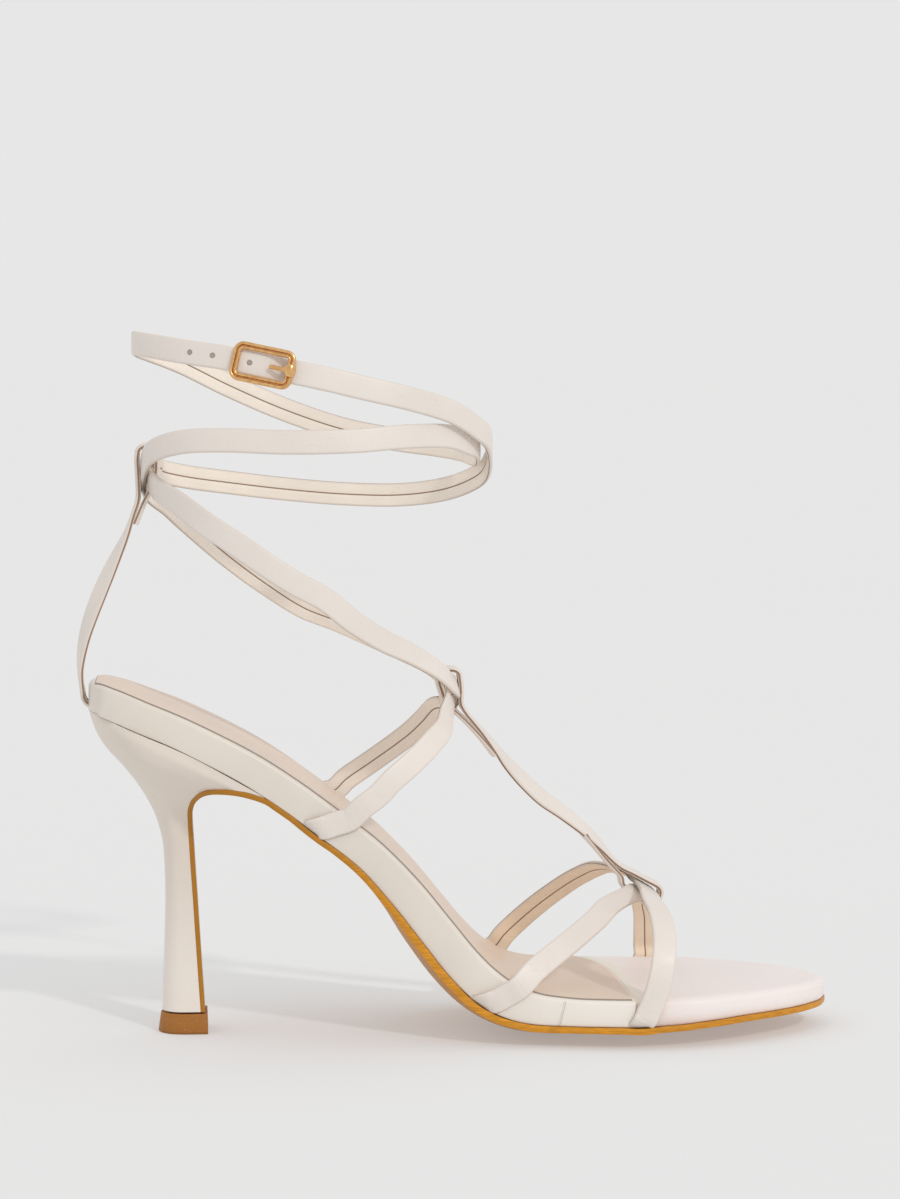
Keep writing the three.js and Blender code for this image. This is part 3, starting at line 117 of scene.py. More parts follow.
# Straps: x, y, z, heading of the outer face (0 outer side, 90 toe) and how far it looks up.
ANKLE_STRAP_A = [
    (-80.3, -27, 69.9, 4, 2), (-75.6, -26, 73.3, 8, 6), (-71.7, -24.5, 77.2, 14, 12),
    (-67.2, -22, 80.7, 22, 18), (-62.8, -19, 84.3, 30, 22), (-59.2, -15.5, 87.6, 40, 24),
    (-55.7, -11, 91.1, 54, 20), (-54.6, -8.2, 95.2, 66, 20), (-53.5, -5.7, 99, 82, 14),
    (-53.4, -3.4, 100.4, 88, 14), (-53.5, 0, 101.2, 90, 14), (-53.8, 3.4, 101.9, 92, 14),
    (-54.8, 6, 103.2, 99, 15), (-57.8, 9.2, 106.7, 112, 20), (-67.3, 13, 112, 130, 20),
    (-77.5, 19, 116.6, 148, 16), (-86.4, 25, 120.4, 162, 12), (-95.7, 29, 123.9, 172, 8),
    (-106.9, 31, 130.9, 182, 6), (-119, 29, 140, 195, 5), (-131, 23, 150.5, 215, 4),
    (-136.9, 16, 156, 236, 3), (-141.9, 8.6, 160.2, 250, 2), (-143.3, 3.9, 163.6, 263, 1),
    (-143.6, 0, 165.9, 270, 1), (-143.3, -3.9, 168.3, 277, 1), (-141.9, -8.4, 171.4, 290, 2),
    (-138.6, -14, 173.7, 307.1, 5), (-130.9, -21.4, 175.7, 324.4, 8),
    (-118.8, -27.7, 176.2, 339.6, 10), (-102.6, -31.5, 175.7, 353.5, 11),
    (-83.7, -31.3, 176, 367.8, 11), (-66.3, -26.5, 177.2, 383.5, 10), (-54.9, -19.7, 177, 399.5, 8),
    (-48.7, -13, 175, 415.4, 5), (-45.5, -5.4, 173.6, 434.4, 2), (-44.9, 0, 172.2, 450, 0),
    (-45.4, 5.4, 171, 465.7, 0), (-48.7, 13, 172.2, 484.6, 0), (-55.7, 20.6, 173.4, 502.7, 1),
    (-67.4, 27.1, 174.9, 518.3, 2), (-83.5, 31.3, 178, 532.4, 3), (-101.1, 31.7, 183.9, 545, 4),
    (-118.1, 28.3, 191.3, 558.3, 4), (-132.3, 21.4, 198.3, 574.6, 3), (-141.3, 13, 201.8, 594.2, 2),
    (-145.1, 5.9, 203.2, 611.9, 0), (-146, 0, 204, 630, 0), (-145.1, -5.9, 203.9, 648.1, 2),
    (-140.6, -14, 203.1, 668.5, 6), (-131.1, -22.2, 201.5, 687.3, 9),
    (-119.8, -27.7, 199.8, 700.3, 10), (-108.6, -30.7, 197.4, 709.6, 10),
    (-105.5, -30.6, 196.8, 711.9, 10), (-102.1, -29.6, 196.1, 714.4, 10),
    (-95.7, -29.8, 194.8, 718.8, 10), (-85.4, -29.2, 192.5, 726, 10),
    (-75.5, -27.5, 190.1, 733.6, 10),
]

ANKLE_STRAP_B = [
    (-83.1, 26, 71.5, 176, 2), (-76.1, 25, 76.5, 172, 6), (-69.8, 23, 81.2, 166, 12),
    (-63.9, 20, 86.1, 158, 18), (-59.9, 16, 90.5, 146, 22), (-56.6, 11, 94.7, 128, 22),
    (-53.8, 8.4, 95.6, 112, 18), (-51.2, 6, 99.3, 99, 14), (-51.2, 3.4, 100.8, 92, 14),
    (-51.4, 0, 101.7, 90, 14), (-51.7, -3.4, 102.6, 88, 14), (-53, -6, 103.9, 80, 14),
    (-56.6, -9.4, 107.6, 62, 20), (-65.2, -13, 113.1, 46, 20), (-73.7, -18.5, 117.5, 32, 16),
    (-82.7, -24, 123.5, 18, 12), (-90.8, -28, 130.2, 10, 8), (-99.8, -30.5, 135.3, 4, 6),
    (-108.4, -31, 140.9, -2, 5), (-116.6, -29, 146.5, -12, 4), (-125.2, -24, 152, -28, 4),
    (-133.3, -16.5, 157.8, -48, 3), (-138.9, -9, 161.2, -68, 2), (-141.2, -3.9, 163.6, -84, 1),
    (-141.4, 0, 165, -90, 1), (-141.2, 3.9, 166.1, -96, 1), (-139, 9, 167, -112, 2),
    (-138.4, 13.6, 165.9, -127.9, 2), (-131.2, 21.1, 164, -145, 3),
    (-117.7, 28.3, 161.9, -161.4, 4), (-101.1, 32, 159.8, -174.9, 4),
    (-83.3, 31.8, 158.3, -187.6, 4), (-66.5, 28, 158.1, -201.6, 3), (-53.9, 21.3, 159.9, -217.1, 2),
    (-45.9, 13.6, 163.1, -235, 1), (-42.3, 6.4, 166.3, -252.9, 0), (-41.3, 0, 171.2, -270, 0),
    (-42.3, -6.4, 176, -287.1, 1), (-45.9, -13.6, 179.2, -305, 3), (-53.9, -21.2, 184.1, -323.1, 6),
    (-66.5, -27.6, 188, -338.6, 9), (-81.5, -31.2, 191.5, -351.2, 10),
    (-92.2, -32, 194.1, -358.8, 10), (-101.5, -31.6, 196, -365.2, 10),
]

TOE_STRAP_A = [
    (-30.8, -30.5, 21.8, 8, 18), (-24.1, -24.5, 25.8, 16, 32), (-16.9, -18, 29.9, 22, 44),
    (-10.7, -13, 34, 34, 54), (-6.2, -9.6, 37.6, 52, 60), (0.8, -6.2, 40.5, 74, 60),
    (2.7, -3.6, 40.6, 87, 60), (3.6, 0, 40.3, 90, 60), (4.1, 3.9, 39.7, 94, 60),
    (6.6, 9.5, 38.9, 112, 58), (7.7, 22, 32.9, 150, 46), (9.2, 29, 28, 162, 34),
    (9.9, 34, 22.5, 168, 20), (10.4, 38, 17.1, 174, 10),
]

TOE_STRAP_B = [
    (-34.1, 33, 21.9, 176, 12), (-26.4, 29, 30, 170, 24), (-18.9, 24, 36.9, 162, 36),
    (-12.3, 17, 42.6, 150, 48), (-6.4, 9.5, 46.1, 130, 58), (1, 7.2, 44.6, 106, 60),
    (3.8, 3.9, 42.5, 94, 60), (4.8, 0, 42.1, 90, 60), (5.4, -3.9, 41.5, 86, 60),
    (5.6, -9, 41.2, 66, 58), (5.4, -17, 40.5, 40, 50), (6.6, -23.5, 38, 24, 42),
    (7.1, -29, 34.8, 14, 30), (7.1, -33.4, 31, 8, 20), (6.4, -36.8, 26.3, 4, 9),
    (5.2, -38.6, 20.6, 2, 3),
]

# Straps in the middle plane: x, z and the twist of the outer face toward the outer side.
CENTRE_STRAP = [
    (-13, 57.6, 6), (-9.4, 53.4, 2), (-6, 49.4, 0), (-3.6, 46.8, 0), (-2, 44.8, 0), (-1.6, 42.8, 0),
    (-0.2, 41, 0), (2.7, 38.8, 0), (6.2, 36.6, 0), (7.8, 36.4, 0), (9.5, 38.1, 0), (10.1, 40.4, 0),
    (9.4, 41.8, 0), (5.8, 43.9, 0), (1.7, 46.1, 0), (-2, 48, 0), (-4.8, 50.5, 2), (-6.9, 53, 7),
    (-10.6, 57, 16), (-19.2, 64.2, 27), (-25.6, 68.8, 31), (-31.6, 74.5, 28), (-35.9, 79.2, 20),
    (-39, 83.2, 10), (-42.9, 88.2, 4), (-46.2, 92, 0), (-48.5, 94.8, 0), (-49.8, 97.4, 0),
    (-49.8, 101.4, 0), (-50.1, 104.7, 0), (-50.5, 106.5, 0), (-51.7, 107.4, 0), (-54.1, 107.5, 0),
    (-56.3, 106.3, 0), (-56.9, 104.8, 0), (-55.7, 100.1, 0), (-54.2, 96.4, 0), (-52.3, 95.3, 0),
    (-50.1, 93.4, 0), (-47.5, 90.8, 0), (-44.2, 87.1, 2), (-39.8, 81.6, 6),
]

HEEL_STRAP = [
    (-153, 96.6, 0), (-158.6, 97.2, 0), (-161.1, 98.9, 0), (-161.9, 102.6, 2), (-162.4, 107.5, 6),
    (-162.1, 112, 14), (-161.1, 117.5, 22), (-159.6, 122.6, 28), (-157.2, 129, 31),
    (-154.3, 135.8, 28), (-151.4, 142, 18), (-148.9, 147.3, 8), (-146.8, 153, 0),
    (-145.1, 158.5, 0), (-145.1, 163.5, 0), (-145.3, 171.2, 0), (-144.7, 173.2, 0),
    (-142.5, 174.1, 0), (-140.4, 173, 0), (-139.5, 170.5, 0), (-139.6, 165.3, 0), (-141.3, 161, 0),
    (-143.2, 157.3, 0), (-144.6, 153.9, 1), (-145.8, 150.9, 3),
]

# Where each strap goes under the footbed's edge: share of the length at the bottom and at
# the top, and the side, -1 the outer.
TUCKS = {
    "ankle_a": (0.3215, 0.3450, -1),
    "ankle_b": (0.3080, 0.3340, 1),
    "ball_outer": (0.5470, 0.5675, -1),
    "ball_inner": (0.5450, 0.5615, 1),
    "toe_outer": (0.7262, 0.7415, -1),
    "toe_inner": (0.7650, 0.7748, 1),
}

# The row of ANKLE_STRAP_A on which the buckle sits, and the rows of a tucked end.
BUCKLE_ROW = 52
TUCK_ROWS = 6

# Punched holes of the outer tail, millimetres along the shoe, and the rand's side seam:
# its place along the shoe at a height, that height, and its slope.
HOLE_PLACES = (-129.2, -122.8, -112.4)
RAND_SEAM = (-24.0, 6.0, 0.247)


def smooth_column(rows, column, x):
    """Cubic through one column of a table that never overshoots it.

    The slope at a row is the weighted harmonic mean of the slopes on its two sides,
    or zero at a peak, and each stretch is the Hermite cubic of its ends.
    """
    table = np.array(rows, float)
    t = table[:, 0]
    y = table[:, column]
    h = np.diff(t)
    d = np.diff(y) / h
    m = np.concatenate(([d[0]], np.zeros(len(t) - 2), [d[-1]]))
    same = d[:-1] * d[1:] > 0
    low = np.where(same, d[:-1], 1.0)
    high = np.where(same, d[1:], 1.0)
    mean = 3 * (h[:-1] + h[1:]) / ((2 * h[1:] + h[:-1]) / low + (h[1:] + 2 * h[:-1]) / high)
    m[1:-1] = np.where(same, mean, 0.0)
    x = np.asarray(x, float)
    i = np.clip(np.searchsorted(t, x, side="left") - 1, 0, len(t) - 2)
    u = np.clip((x - t[i]) / h[i], 0, 1)
    return (
        (1 + 2 * u) * (1 - u) ** 2 * y[i]
        + u * (1 - u) ** 2 * h[i] * m[i]
        + u * u * (3 - 2 * u) * y[i + 1]
        + u * u * (u - 1) * h[i] * m[i + 1]
    )


def unit(v):
    """Each vector of an array divided by its length."""
    return v / np.maximum(np.linalg.norm(v, axis=-1, keepdims=True), 1e-9)


def ease(a, b, x):
    """Zero below a, one above b, and three t squared less two t cubed between."""
    t = np.clip((np.asarray(x, float) - a) / (b - a), 0, 1)
    return t * t * (3 - 2 * t)


class Section:
    """Cross sections of the footbed at shares of its length.

    The top edge's height is the seat's and the ball's mixed by the profile's rise; the
    square-up direction is its tangent turned a quarter; half widths mix seat and ball.
    """

    def __init__(self, along):
        along = np.atleast_1d(np.asarray(along, float))
        before = np.maximum(0, along - 0.002)
        after = np.minimum(1, along + 0.002)
        slope = (self.lift(after) - self.lift(before)) / ((after - before) * LAST_LENGTH)
        self.along = along
        self.tangent = unit(np.stack([np.ones_like(slope), 0 * slope, slope], -1))
        self.normal = self.tangent[:, [2, 1, 0]] * [-1, 0, 1]
        self.top = np.stack([HEEL_X + along * LAST_LENGTH, 0 * along, self.lift(along)], -1)
        fore = smooth_column(OUTLINE, 1, along)
        width = SEAT_WIDTH + (BALL_WIDTH - SEAT_WIDTH) * fore
        self.outer = width * smooth_column(OUTLINE, 2, along)
        self.inner = width * smooth_column(OUTLINE, 3, along)
        self.depth = RAND_DEPTH * smooth_column(PROFILE, 2, along)
        self.belly = BELLY_DEPTH * smooth_column(PROFILE, 3, along)
        self.skin = smooth_column(PROFILE, 4, along)

    @staticmethod
    def lift(along):
        """Height of the top edge: the ball's plus the rise times the seat above it."""
        return FORE_HEIGHT + smooth_column(PROFILE, 1, along) * (SEAT_HEIGHT - FORE_HEIGHT)

    def at(self, q, n, along=0.0):
        """Points q across, n up from the top edge and some way along, as stations by points."""
        n = np.broadcast_to(n, q.shape)[..., None]
        along = np.broadcast_to(along, q.shape)[..., None]
        p = self.top[:, None, :] + self.normal[:, None, :] * n + self.tangent[:, None, :] * along
        return p + q[..., None] * SIDEWAYS

    def swell(self, q):
        """The underside's hang: the belly times one less the squared share of the half width."""
        half = np.where(q < 0, self.outer[:, None], self.inner[:, None])
        u = np.minimum(1, np.abs(q) / np.maximum(half, 1e-6))
        return self.belly[:, None] * (1 - u * u)

    def seam(self, q, fade):
        """How far points move back to follow the toe seam: a square and an eighth power across."""
        u = np.clip((q + self.outer[:, None]) / (self.outer + self.inner)[:, None], 0, 1)
        return -(SEAM_SWEEP * u**2 + SEAM_CURL * u**8) * fade


def grid_mesh(name, points, uv=None, slots=None, values=None, sharp=38.0, ring=False):
    """One mesh object of a grid of points in millimetres, stations by points round.

    Neighbouring points make quads, the two end rings are closed by one face each unless
    the last meets the first as a ring does, and the whole is turned outward when its
    volume comes out negative.
    """
    rings, count = points.shape[:2]
    i, j = np.meshgrid(np.arange(rings if ring else rings - 1), np.arange(count), indexing="ij")
    i, k, after = i * count, (j + 1) % count, (i + 1) % rings * count
    quads = np.stack([i + j, i + k, after + k, after + j], -1).reshape(-1, 4)
    flat = points.reshape(-1, 3) * MM
    a, b, c, d = (flat[quads[:, n]] for n in range(4))
    volume = (a * (np.cross(b, c) + np.cross(c, d))).sum()
    caps = [] if ring else [np.arange(count)[::-1], np.arange(count) + (rings - 1) * count]
    if volume < 0:
        quads = quads[:, ::-1]
        caps = [cap[::-1] for cap in caps]
    mesh = bpy.data.meshes.new(name)
    mesh.from_pydata(flat, [], [*quads.tolist(), *[cap.tolist() for cap in caps]])
    corner = np.empty(len(mesh.loops), np.int32)
    mesh.loops.foreach_get("vertex_index", corner)
    if uv is not None:
        layer = mesh.uv_layers.new(name="UVMap")
        layer.data.foreach_set("uv", uv.reshape(-1, 2)[corner].astype(np.float32).ravel())
    if slots is not None:
        index = np.zeros(len(mesh.polygons), np.int32)
        index[: len(quads)] = slots[j.ravel()]
        mesh.polygons.foreach_set("material_index", index)
    for key, value in (values or {}).items():
        layer = mesh.attributes.new(key, "FLOAT", "POINT")
        layer.data.foreach_set("value", value.astype(np.float32).ravel())
    mesh.polygons.foreach_set("use_smooth", np.ones(len(mesh.polygons), bool))
    mesh.set_sharp_from_angle(angle=math.radians(sharp))
    mesh.validate()
    mesh.update()
    piece = bpy.data.objects.new(name, mesh)
    bpy.context.scene.collection.objects.link(piece)
    return piece


def hand_over(piece, slot, node, *materials):
    """Puts a finished piece with its materials on the shoe in place of its solid."""
    for material in materials:
        piece.data.materials.append(material)
    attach(piece, "root")
    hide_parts(node)


def edge_distance(points, border):
    """Shortest distance from each point to a line: the least over its straight parts."""
    a = border[:-1]
    step = border[1:] - a
    length2 = np.maximum((step**2).sum(-1), 1e-12)
    found = []
    for block in np.array_split(points.reshape(-1, 3), 24):
        gap = block[:, None, :] - a[None]
        t = np.clip((gap * step).sum(-1) / length2, 0, 1)
        found.append(np.linalg.norm(gap - t[..., None] * step, axis=-1).min(1))
    return np.concatenate(found).reshape(points.shape[:-1])


def bed_points(shares, inset, drop, floor, reach, fall, crown, fade, corner=0.5, open_end=None):
    """Rings of a layer of the footbed: a top, two sides and an underside.

    Across, points stand at the sine of an even spacing. The top falls by a quarter
    ellipse of the given reach and fall near its border, the sides bulge by a half sine,
    the lower corners are quarter circles and the underside is floor(section, q).
    """
    s = Section(shares)
    shift = fade(s.along)[:, None]
    half_out = (s.outer - np.minimum(inset(s.along), 0.3 * s.outer))[:, None]
    half_in = (s.inner - np.minimum(inset(s.along), 0.3 * s.inner))[:, None]
    u = np.sin(np.linspace(-math.pi / 2, math.pi / 2, 49))[None, :]
    q = np.where(u < 0, u * half_out, u * half_in)
    plan = s.at(q, 0 * q, s.seam(q, shift))
    left, right, back, fore = plan[:, 0], plan[:, -1], plan[0, 1:-1], plan[-1, 1:-1]
    border = [left, fore, right[::-1]] + ([] if open_end == "back" else [back[::-1], left[:1]])
    border = np.concatenate([left[::-1], back, right] if open_end == "front" else border)
    near = np.clip(1 - edge_distance(plan, border) / reach, 0, 1)
    top_n = -drop - fall * (1 - np.sqrt(1 - near**2))
    top = s.at(q, top_n, s.seam(q, shift))
    low = floor(s, np.stack([-half_out[:, 0], half_in[:, 0]], -1))
    t = np.linspace(0, 1, 9)[None, 1:]
    turn = np.linspace(0, math.pi / 2, 5)[None, 1:]
    sides = []
    for half, sign, base in ((half_in, 1, low[:, 1:]), (half_out, -1, low[:, :1])):
        start = -drop - fall
        r = np.minimum(corner, 0.3 * half)
        wall_n = start + t * (base + r - start)
        wall_q = half + crown * np.sin(math.pi * t) * np.ones_like(half)
        bend_q = half - r + r * np.cos(turn)
        bend_n = base + r - r * np.sin(turn)
        both_q = sign * np.concatenate([wall_q, bend_q], 1)
        sides.append((both_q, np.concatenate([wall_n, bend_n], 1)))
    v = np.linspace(1, -1, 33)[None, 1:-1]
    cut = np.minimum(corner, 0.3 * half_in)
    under_q = np.where(v < 0, v * (half_out - cut), v * (half_in - cut))
    under_n = floor(s, under_q)
    rest_q = np.concatenate([sides[0][0], under_q, sides[1][0][:, ::-1]], 1)
    rest_n = np.concatenate([sides[0][1], under_n, sides[1][1][:, ::-1]], 1)
    rest = s.at(rest_q, rest_n, s.seam(rest_q, shift))
    points = np.concatenate([top, rest], 1)
    ring_q = np.concatenate([q, rest_q], 1)
    uv = np.stack([np.broadcast_to(s.along[:, None] * LAST_LENGTH, ring_q.shape), ring_q], -1)
    lowest = np.concatenate([np.zeros(len(t[0]) + 1), np.ones(len(turn[0]) - 1)])
    foot = np.concatenate([lowest, np.ones(under_q.shape[1]), lowest[::-1]])
    return points, uv, {
        "rim": np.concatenate([near, np.ones_like(rest_q)], 1),
        "foot": np.concatenate([np.zeros_like(near), np.broadcast_to(foot, rest_q.shape)], 1),
    }


def spread(start, end, count, back, fore):
    """Shares between two ends, closer together by a cosine at each end that is round."""
    t = np.linspace(0, 1, count)
    round_ends = (1 - np.cos(math.pi * t)) / 2
    first = round_ends if back else t
    last = round_ends if fore else t
    return start + (end - start) * (first * (1 - t) + last * t)


def run_along(line):
    """Distance along a line from its start to each of its points."""
    return np.concatenate([[0], np.cumsum(np.linalg.norm(np.diff(line, axis=0), axis=1))])


def with_ends(rows):
    """Rows with one more before and after, mirrored through the end rows."""
    return np.concatenate([[2 * rows[0] - rows[1]], rows, [2 * rows[-1] - rows[-2]]])


def cubic_between(ends, dt, part, f):
    """The centripetal cubic at share f of each part, from its four nearest rows.

    The slope at a row joins the slopes toward its two neighbours by their times dt, and
    each stretch is the Hermite cubic of its ends.
    """
    p0, p1, p2, p3 = (ends[part + k] for k in range(4))
    d0, d1, d2 = (dt[part + k] for k in range(3))
    t1 = ((p1 - p0) / d0 - (p2 - p0) / (d0 + d1) + (p2 - p1) / d1) * d1
    t2 = ((p2 - p1) / d1 - (p3 - p1) / (d1 + d2) + (p3 - p2) / d2) * d1
    bend = 3 * (p2 - p1) - 2 * t1 - t2
    return p1 + t1 * f + bend * f**2 + (2 * (p1 - p2) + t1 + t2) * f**3


def carried(points, outs, step):
    """A smooth line through rows of points, with the way its outer face looks.

    Between rows it is the centripetal cubic: the time between two rows is the square
    root of their distance. The facing runs evenly between rows and is then averaged
    over a few millimetres.
    """
    p = np.array(points, float)
    o = unit(np.array(outs, float))
    ends = with_ends(p)
    gap = np.linalg.norm(np.diff(ends, axis=0), axis=1)
    dt = np.maximum(np.sqrt(gap), 1e-4)[:, None]
    cuts = np.maximum(1, np.ceil(gap[1:-1] / step)).astype(int)
    part = np.repeat(np.arange(len(p) - 1), cuts)
    f = (np.arange(len(part)) - np.repeat(np.cumsum(cuts) - cuts, cuts)) / cuts[part]
    part = np.append(part, len(p) - 2)
    f = np.append(f, 1.0)[:, None]
    line = cubic_between(ends, dt, part, f)
    facing = unit(o[part] * (1 - f) + o[part + 1] * f)
    run = run_along(line)
    even = np.linspace(0, run[-1], max(int(run[-1] / 0.5), 8))
    window = np.hanning(13)[1:-1]
    window /= window.sum()
    for axis in range(3):
        values = np.interp(even, run, facing[:, axis])
        padded = np.pad(values, len(window) // 2, mode="edge")
        facing[:, axis] = np.interp(run, even, np.convolve(padded, window, mode="valid"))
    return line, unit(facing), run


def strap_frames(line, facing):
    """Along, out and across of a strap: across is out crossed with along."""
    ahead = np.concatenate([line[1:], line[-1:]]) - np.concatenate([line[:1], line[:-1]])
    ahead = unit(ahead)
    out = unit(facing - (facing * ahead).sum(-1, keepdims=True) * ahead)
    return ahead, out, np.cross(out, ahead)


# A strap's section: points on its outer face, how far that is crowned, and the depth and
# half width of the groove that holds the stitches, in millimetres.
OUTER_POINTS = 15
OUTER_CROWN = 0.12
GROOVE_DEPTH = 0.14
GROOVE_WIDTH = 0.4


def strap_outline(width, thickness, edge):
    """Section of a strap: a slightly crowned outer face, round edges, a flat inner face.

    The outer face falls by a parabola from half the thickness at its middle, each edge is
    a half ellipse as wide as the edge's radius, and the inner face has a small groove, a
    bell curve in section, at its middle.
    """
    w = width / 2
    h = thickness / 2
    r = min(edge, h)
    x = np.linspace(-(w - r), w - r, OUTER_POINTS)
    top = np.stack([x, h - OUTER_CROWN * (x / w) ** 2], -1)
    turn = np.linspace(math.pi / 2, -math.pi / 2, 9)[1:-1]
    lift = (top[-1, 1] + h) / 2
    right = np.stack([w - r + r * np.cos(turn), (top[-1, 1] - h) / 2 + lift * np.sin(turn)], -1)
    groove = [0.8, 0.35, 0.0, -0.35, -0.8]
    back = np.concatenate([np.linspace(w - r, 1.2, 5), groove, np.linspace(-1.2, r - w, 5)])
    under = np.stack([back, -h + GROOVE_DEPTH * np.exp(-((back / GROOVE_WIDTH) ** 2))], -1)
    left = right[::-1] * [-1, 1]
    return np.concatenate([top, right, under, left])


def strap_mesh(name, points, outs, sizes, step=0.8):
    """A flat strap: its section carried along its line, the inner face in a second slot."""
    line, facing, run = carried(points, outs, step)
    ahead, out, across = strap_frames(line, facing)
    width, edge = sizes.strap_width / MM, sizes.strap_edge / MM
    outline = strap_outline(width, sizes.strap_thickness / MM, edge)
    aside, up = outline.T
    rings = line[:, None] + across[:, None] * aside[:, None] + out[:, None] * up[:, None]
    step_round = np.linalg.norm(outline - np.roll(outline, 1, axis=0), axis=1)
    round_run = np.cumsum(step_round)
    round_run = round_run - round_run[OUTER_POINTS // 2]
    far = round_run > round_run.max() / 2 + 3.0
    face = (up < 0) & (np.abs(aside) < width / 2 - edge + 0.01)
    across_map = np.where(face, aside, np.where(far, round_run - step_round.sum(), round_run))
    uv = np.stack(np.broadcast_arrays(run[:, None], across_map[None, :]), -1)
    middle = (outline + np.roll(outline, -1, axis=0)) / 2
    lining = (middle[:, 1] < -0.8 * up.max()) & (np.abs(middle[:, 0]) < width / 2 - 0.45)
    turn = np.linalg.norm(np.gradient(ahead, axis=0), axis=1) / np.maximum(np.gradient(run), 1e-3)
    bend = np.clip(turn / 0.2, 0, 1)
    values = {"bend": np.broadcast_to(bend[:, None], rings.shape[:2])}
    return grid_mesh(name, rings, uv=uv, slots=lining.astype(np.int32), values=values, sharp=50.0)


def strap_rows(table):
    """Points and facings of a strap's table: heading and tilt to a unit vector."""
    rows = np.array(table, float)
    turn = np.radians(rows[:, 3])
    tilt = np.radians(rows[:, 4])
    out = np.stack([np.sin(turn) * np.cos(tilt), -np.cos(turn) * np.cos(tilt), np.sin(tilt)], -1)
    return rows[:, :3], out


def middle_rows(table, sign):
    """The same for a strap in the middle plane: out is square to the path, then twisted."""
    rows = np.array(table, float)
    points = np.stack([rows[:, 0], 0 * rows[:, 0], rows[:, 1]], -1)
    t = unit(np.concatenate([points[1:], points[-1:]]) - np.concatenate([points[:1], points[:-1]]))
    twist = np.radians(rows[:, 2])[:, None]
    out = np.stack([-t[:, 2] * sign, 0 * t[:, 0], t[:, 0] * sign], -1) * np.cos(twist)
    return points, out + np.array([0, -1.0, 0]) * np.sin(twist)


def tuck_rows(name, thickness):
    """The end of a strap round the footbed's edge: under it, round its corner and up its side."""
    low_share, high_share, side = TUCKS[name]
    climb = np.array([-0.3, -0.08, 0.06, 0.32, 0.62, 1.0])
    s = Section(low_share + (high_share - low_share) * climb)
    half = s.outer if side < 0 else s.inner
    skin = thickness / 2
    rest = 0.1 + skin
    sideways = np.array([0.0, side, 0.0])
    down = -s.normal[0]
    q = half + np.array([-TUCK_LENGTH, -1.6, rest * 0.5, rest, rest, rest])
    hang = s.belly * (1 - np.minimum(1, q / half) ** 2)
    n = -s.depth * [1, 1, 1, 0.68, 0.38, 0] - hang * [1, 1, 0, 0, 0, 0]
    n = n + [skin, skin, skin + 0.7, 0, 0, -0.3]
    points = s.top + s.normal * n[:, None] + sideways * q[:, None]
    outs = [down, down, unit(down + sideways), sideways, sideways, sideways]
    return points, np.array(outs)


def with_tucks(first, table, last, thickness):
    """A strap's rows with its tucked start, and its tucked end run backward where it has one."""
    points, outs = strap_rows(table)
    start, start_out = tuck_rows(first, thickness)
    points = np.concatenate([start, points])
    outs = np.concatenate([start_out, outs])
    if last:
        end, end_out = tuck_rows(last, thickness)
        points = np.concatenate([points, end[::-1]])
        outs = np.concatenate([outs, end_out[::-1]])
    return points, outs


def through(rows, cuts):
    """Stations between given ones: the centripetal cubic through each point of the rings."""
    gap = np.linalg.norm(np.diff(with_ends(rows.mean(1)), axis=0), axis=1)
    dt = np.sqrt(np.maximum(gap, 1e-6))[:, None, None]
    part = np.append(np.repeat(np.arange(len(rows) - 1), cuts), len(rows) - 2)
    f = np.append(np.tile(np.arange(cuts) / cuts, len(rows) - 1), 1.0)[:, None, None]
    return cubic_between(with_ends(rows), dt, part, f)


def heel_back():
    """Where the back of the heel stands, below the lower back edge of the footbed."""
    s = Section(0.0)
    return (s.top - s.normal * s.depth[:, None])[0, 0]


def heel_sections(count):
    """Rings of the heel by its rows, cubic between them.

    With c one less the cosine of the turn, x and z run level from the back point to the
    front one by c, and the half breadth is the square root of one less a power of u,
    which falls from one at the back point to zero at the end of its curve.
    """
    rows = np.column_stack([np.arange(len(HEEL)), np.array(HEEL)])
    t = np.linspace(0, len(HEEL) - 1, count)
    columns = (smooth_column(rows, k, t)[:, None] for k in range(1, 7))
    back, back_up, front, front_up, breadth, soft = columns
    turn = np.linspace(-math.pi / 2, math.pi / 2, 61)[None, :]
    c = 1 - np.cos(turn)
    u = np.maximum(0, 1 - c / soft)
    w = breadth * HEEL_BREADTH / 2 * np.sqrt(np.maximum(0, 1 - u**2.2)) * np.sign(turn)
    x = heel_back() + (back + (front - back) * c) * HEEL_LENGTH
    z = (back_up + (front_up - back_up) * c) * SEAT_HEIGHT
    return np.stack([x, w, z], -1)


def heel_points():
    """Each line up the heel from its tip to where it meets the footbed's underside."""
    rings = heel_sections(900)
    s = Section(np.linspace(0, 0.4, 300))
    under = s.top - s.normal * (s.depth + 0.03)[:, None]
    ceiling = np.interp(rings[..., 0], under[:, 0], under[:, 2])
    above = rings[..., 2] >= ceiling
    above[-1] = True
    stop = np.argmax(above, axis=0)
    rows = np.linspace(0, 1, 84)[:, None] * stop[None, :]
    low = np.clip(np.floor(rows).astype(int), 0, 898)
    share = (rows - low)[..., None]
    line = np.arange(rings.shape[1])[None, :]
    return rings[low, line] * (1 - share) + rings[low + 1, line] * share


def paint(red, green, blue):
    """A screen colour from 0 to 255 as linear light."""
    c = np.array([red, green, blue], float) / 255
    return tuple(np.where(c <= 0.04045, c / 12.92, ((c + 0.055) / 1.055) ** 2.4).tolist())


def rgba(colour, gain=1.0, *hue):
    """A colour as a socket value, each channel times its share of a hue and then a gain."""
    return (*(min(1.0, c * h * gain) for c, h in zip(colour, hue or (1, 1, 1))), 1.0)


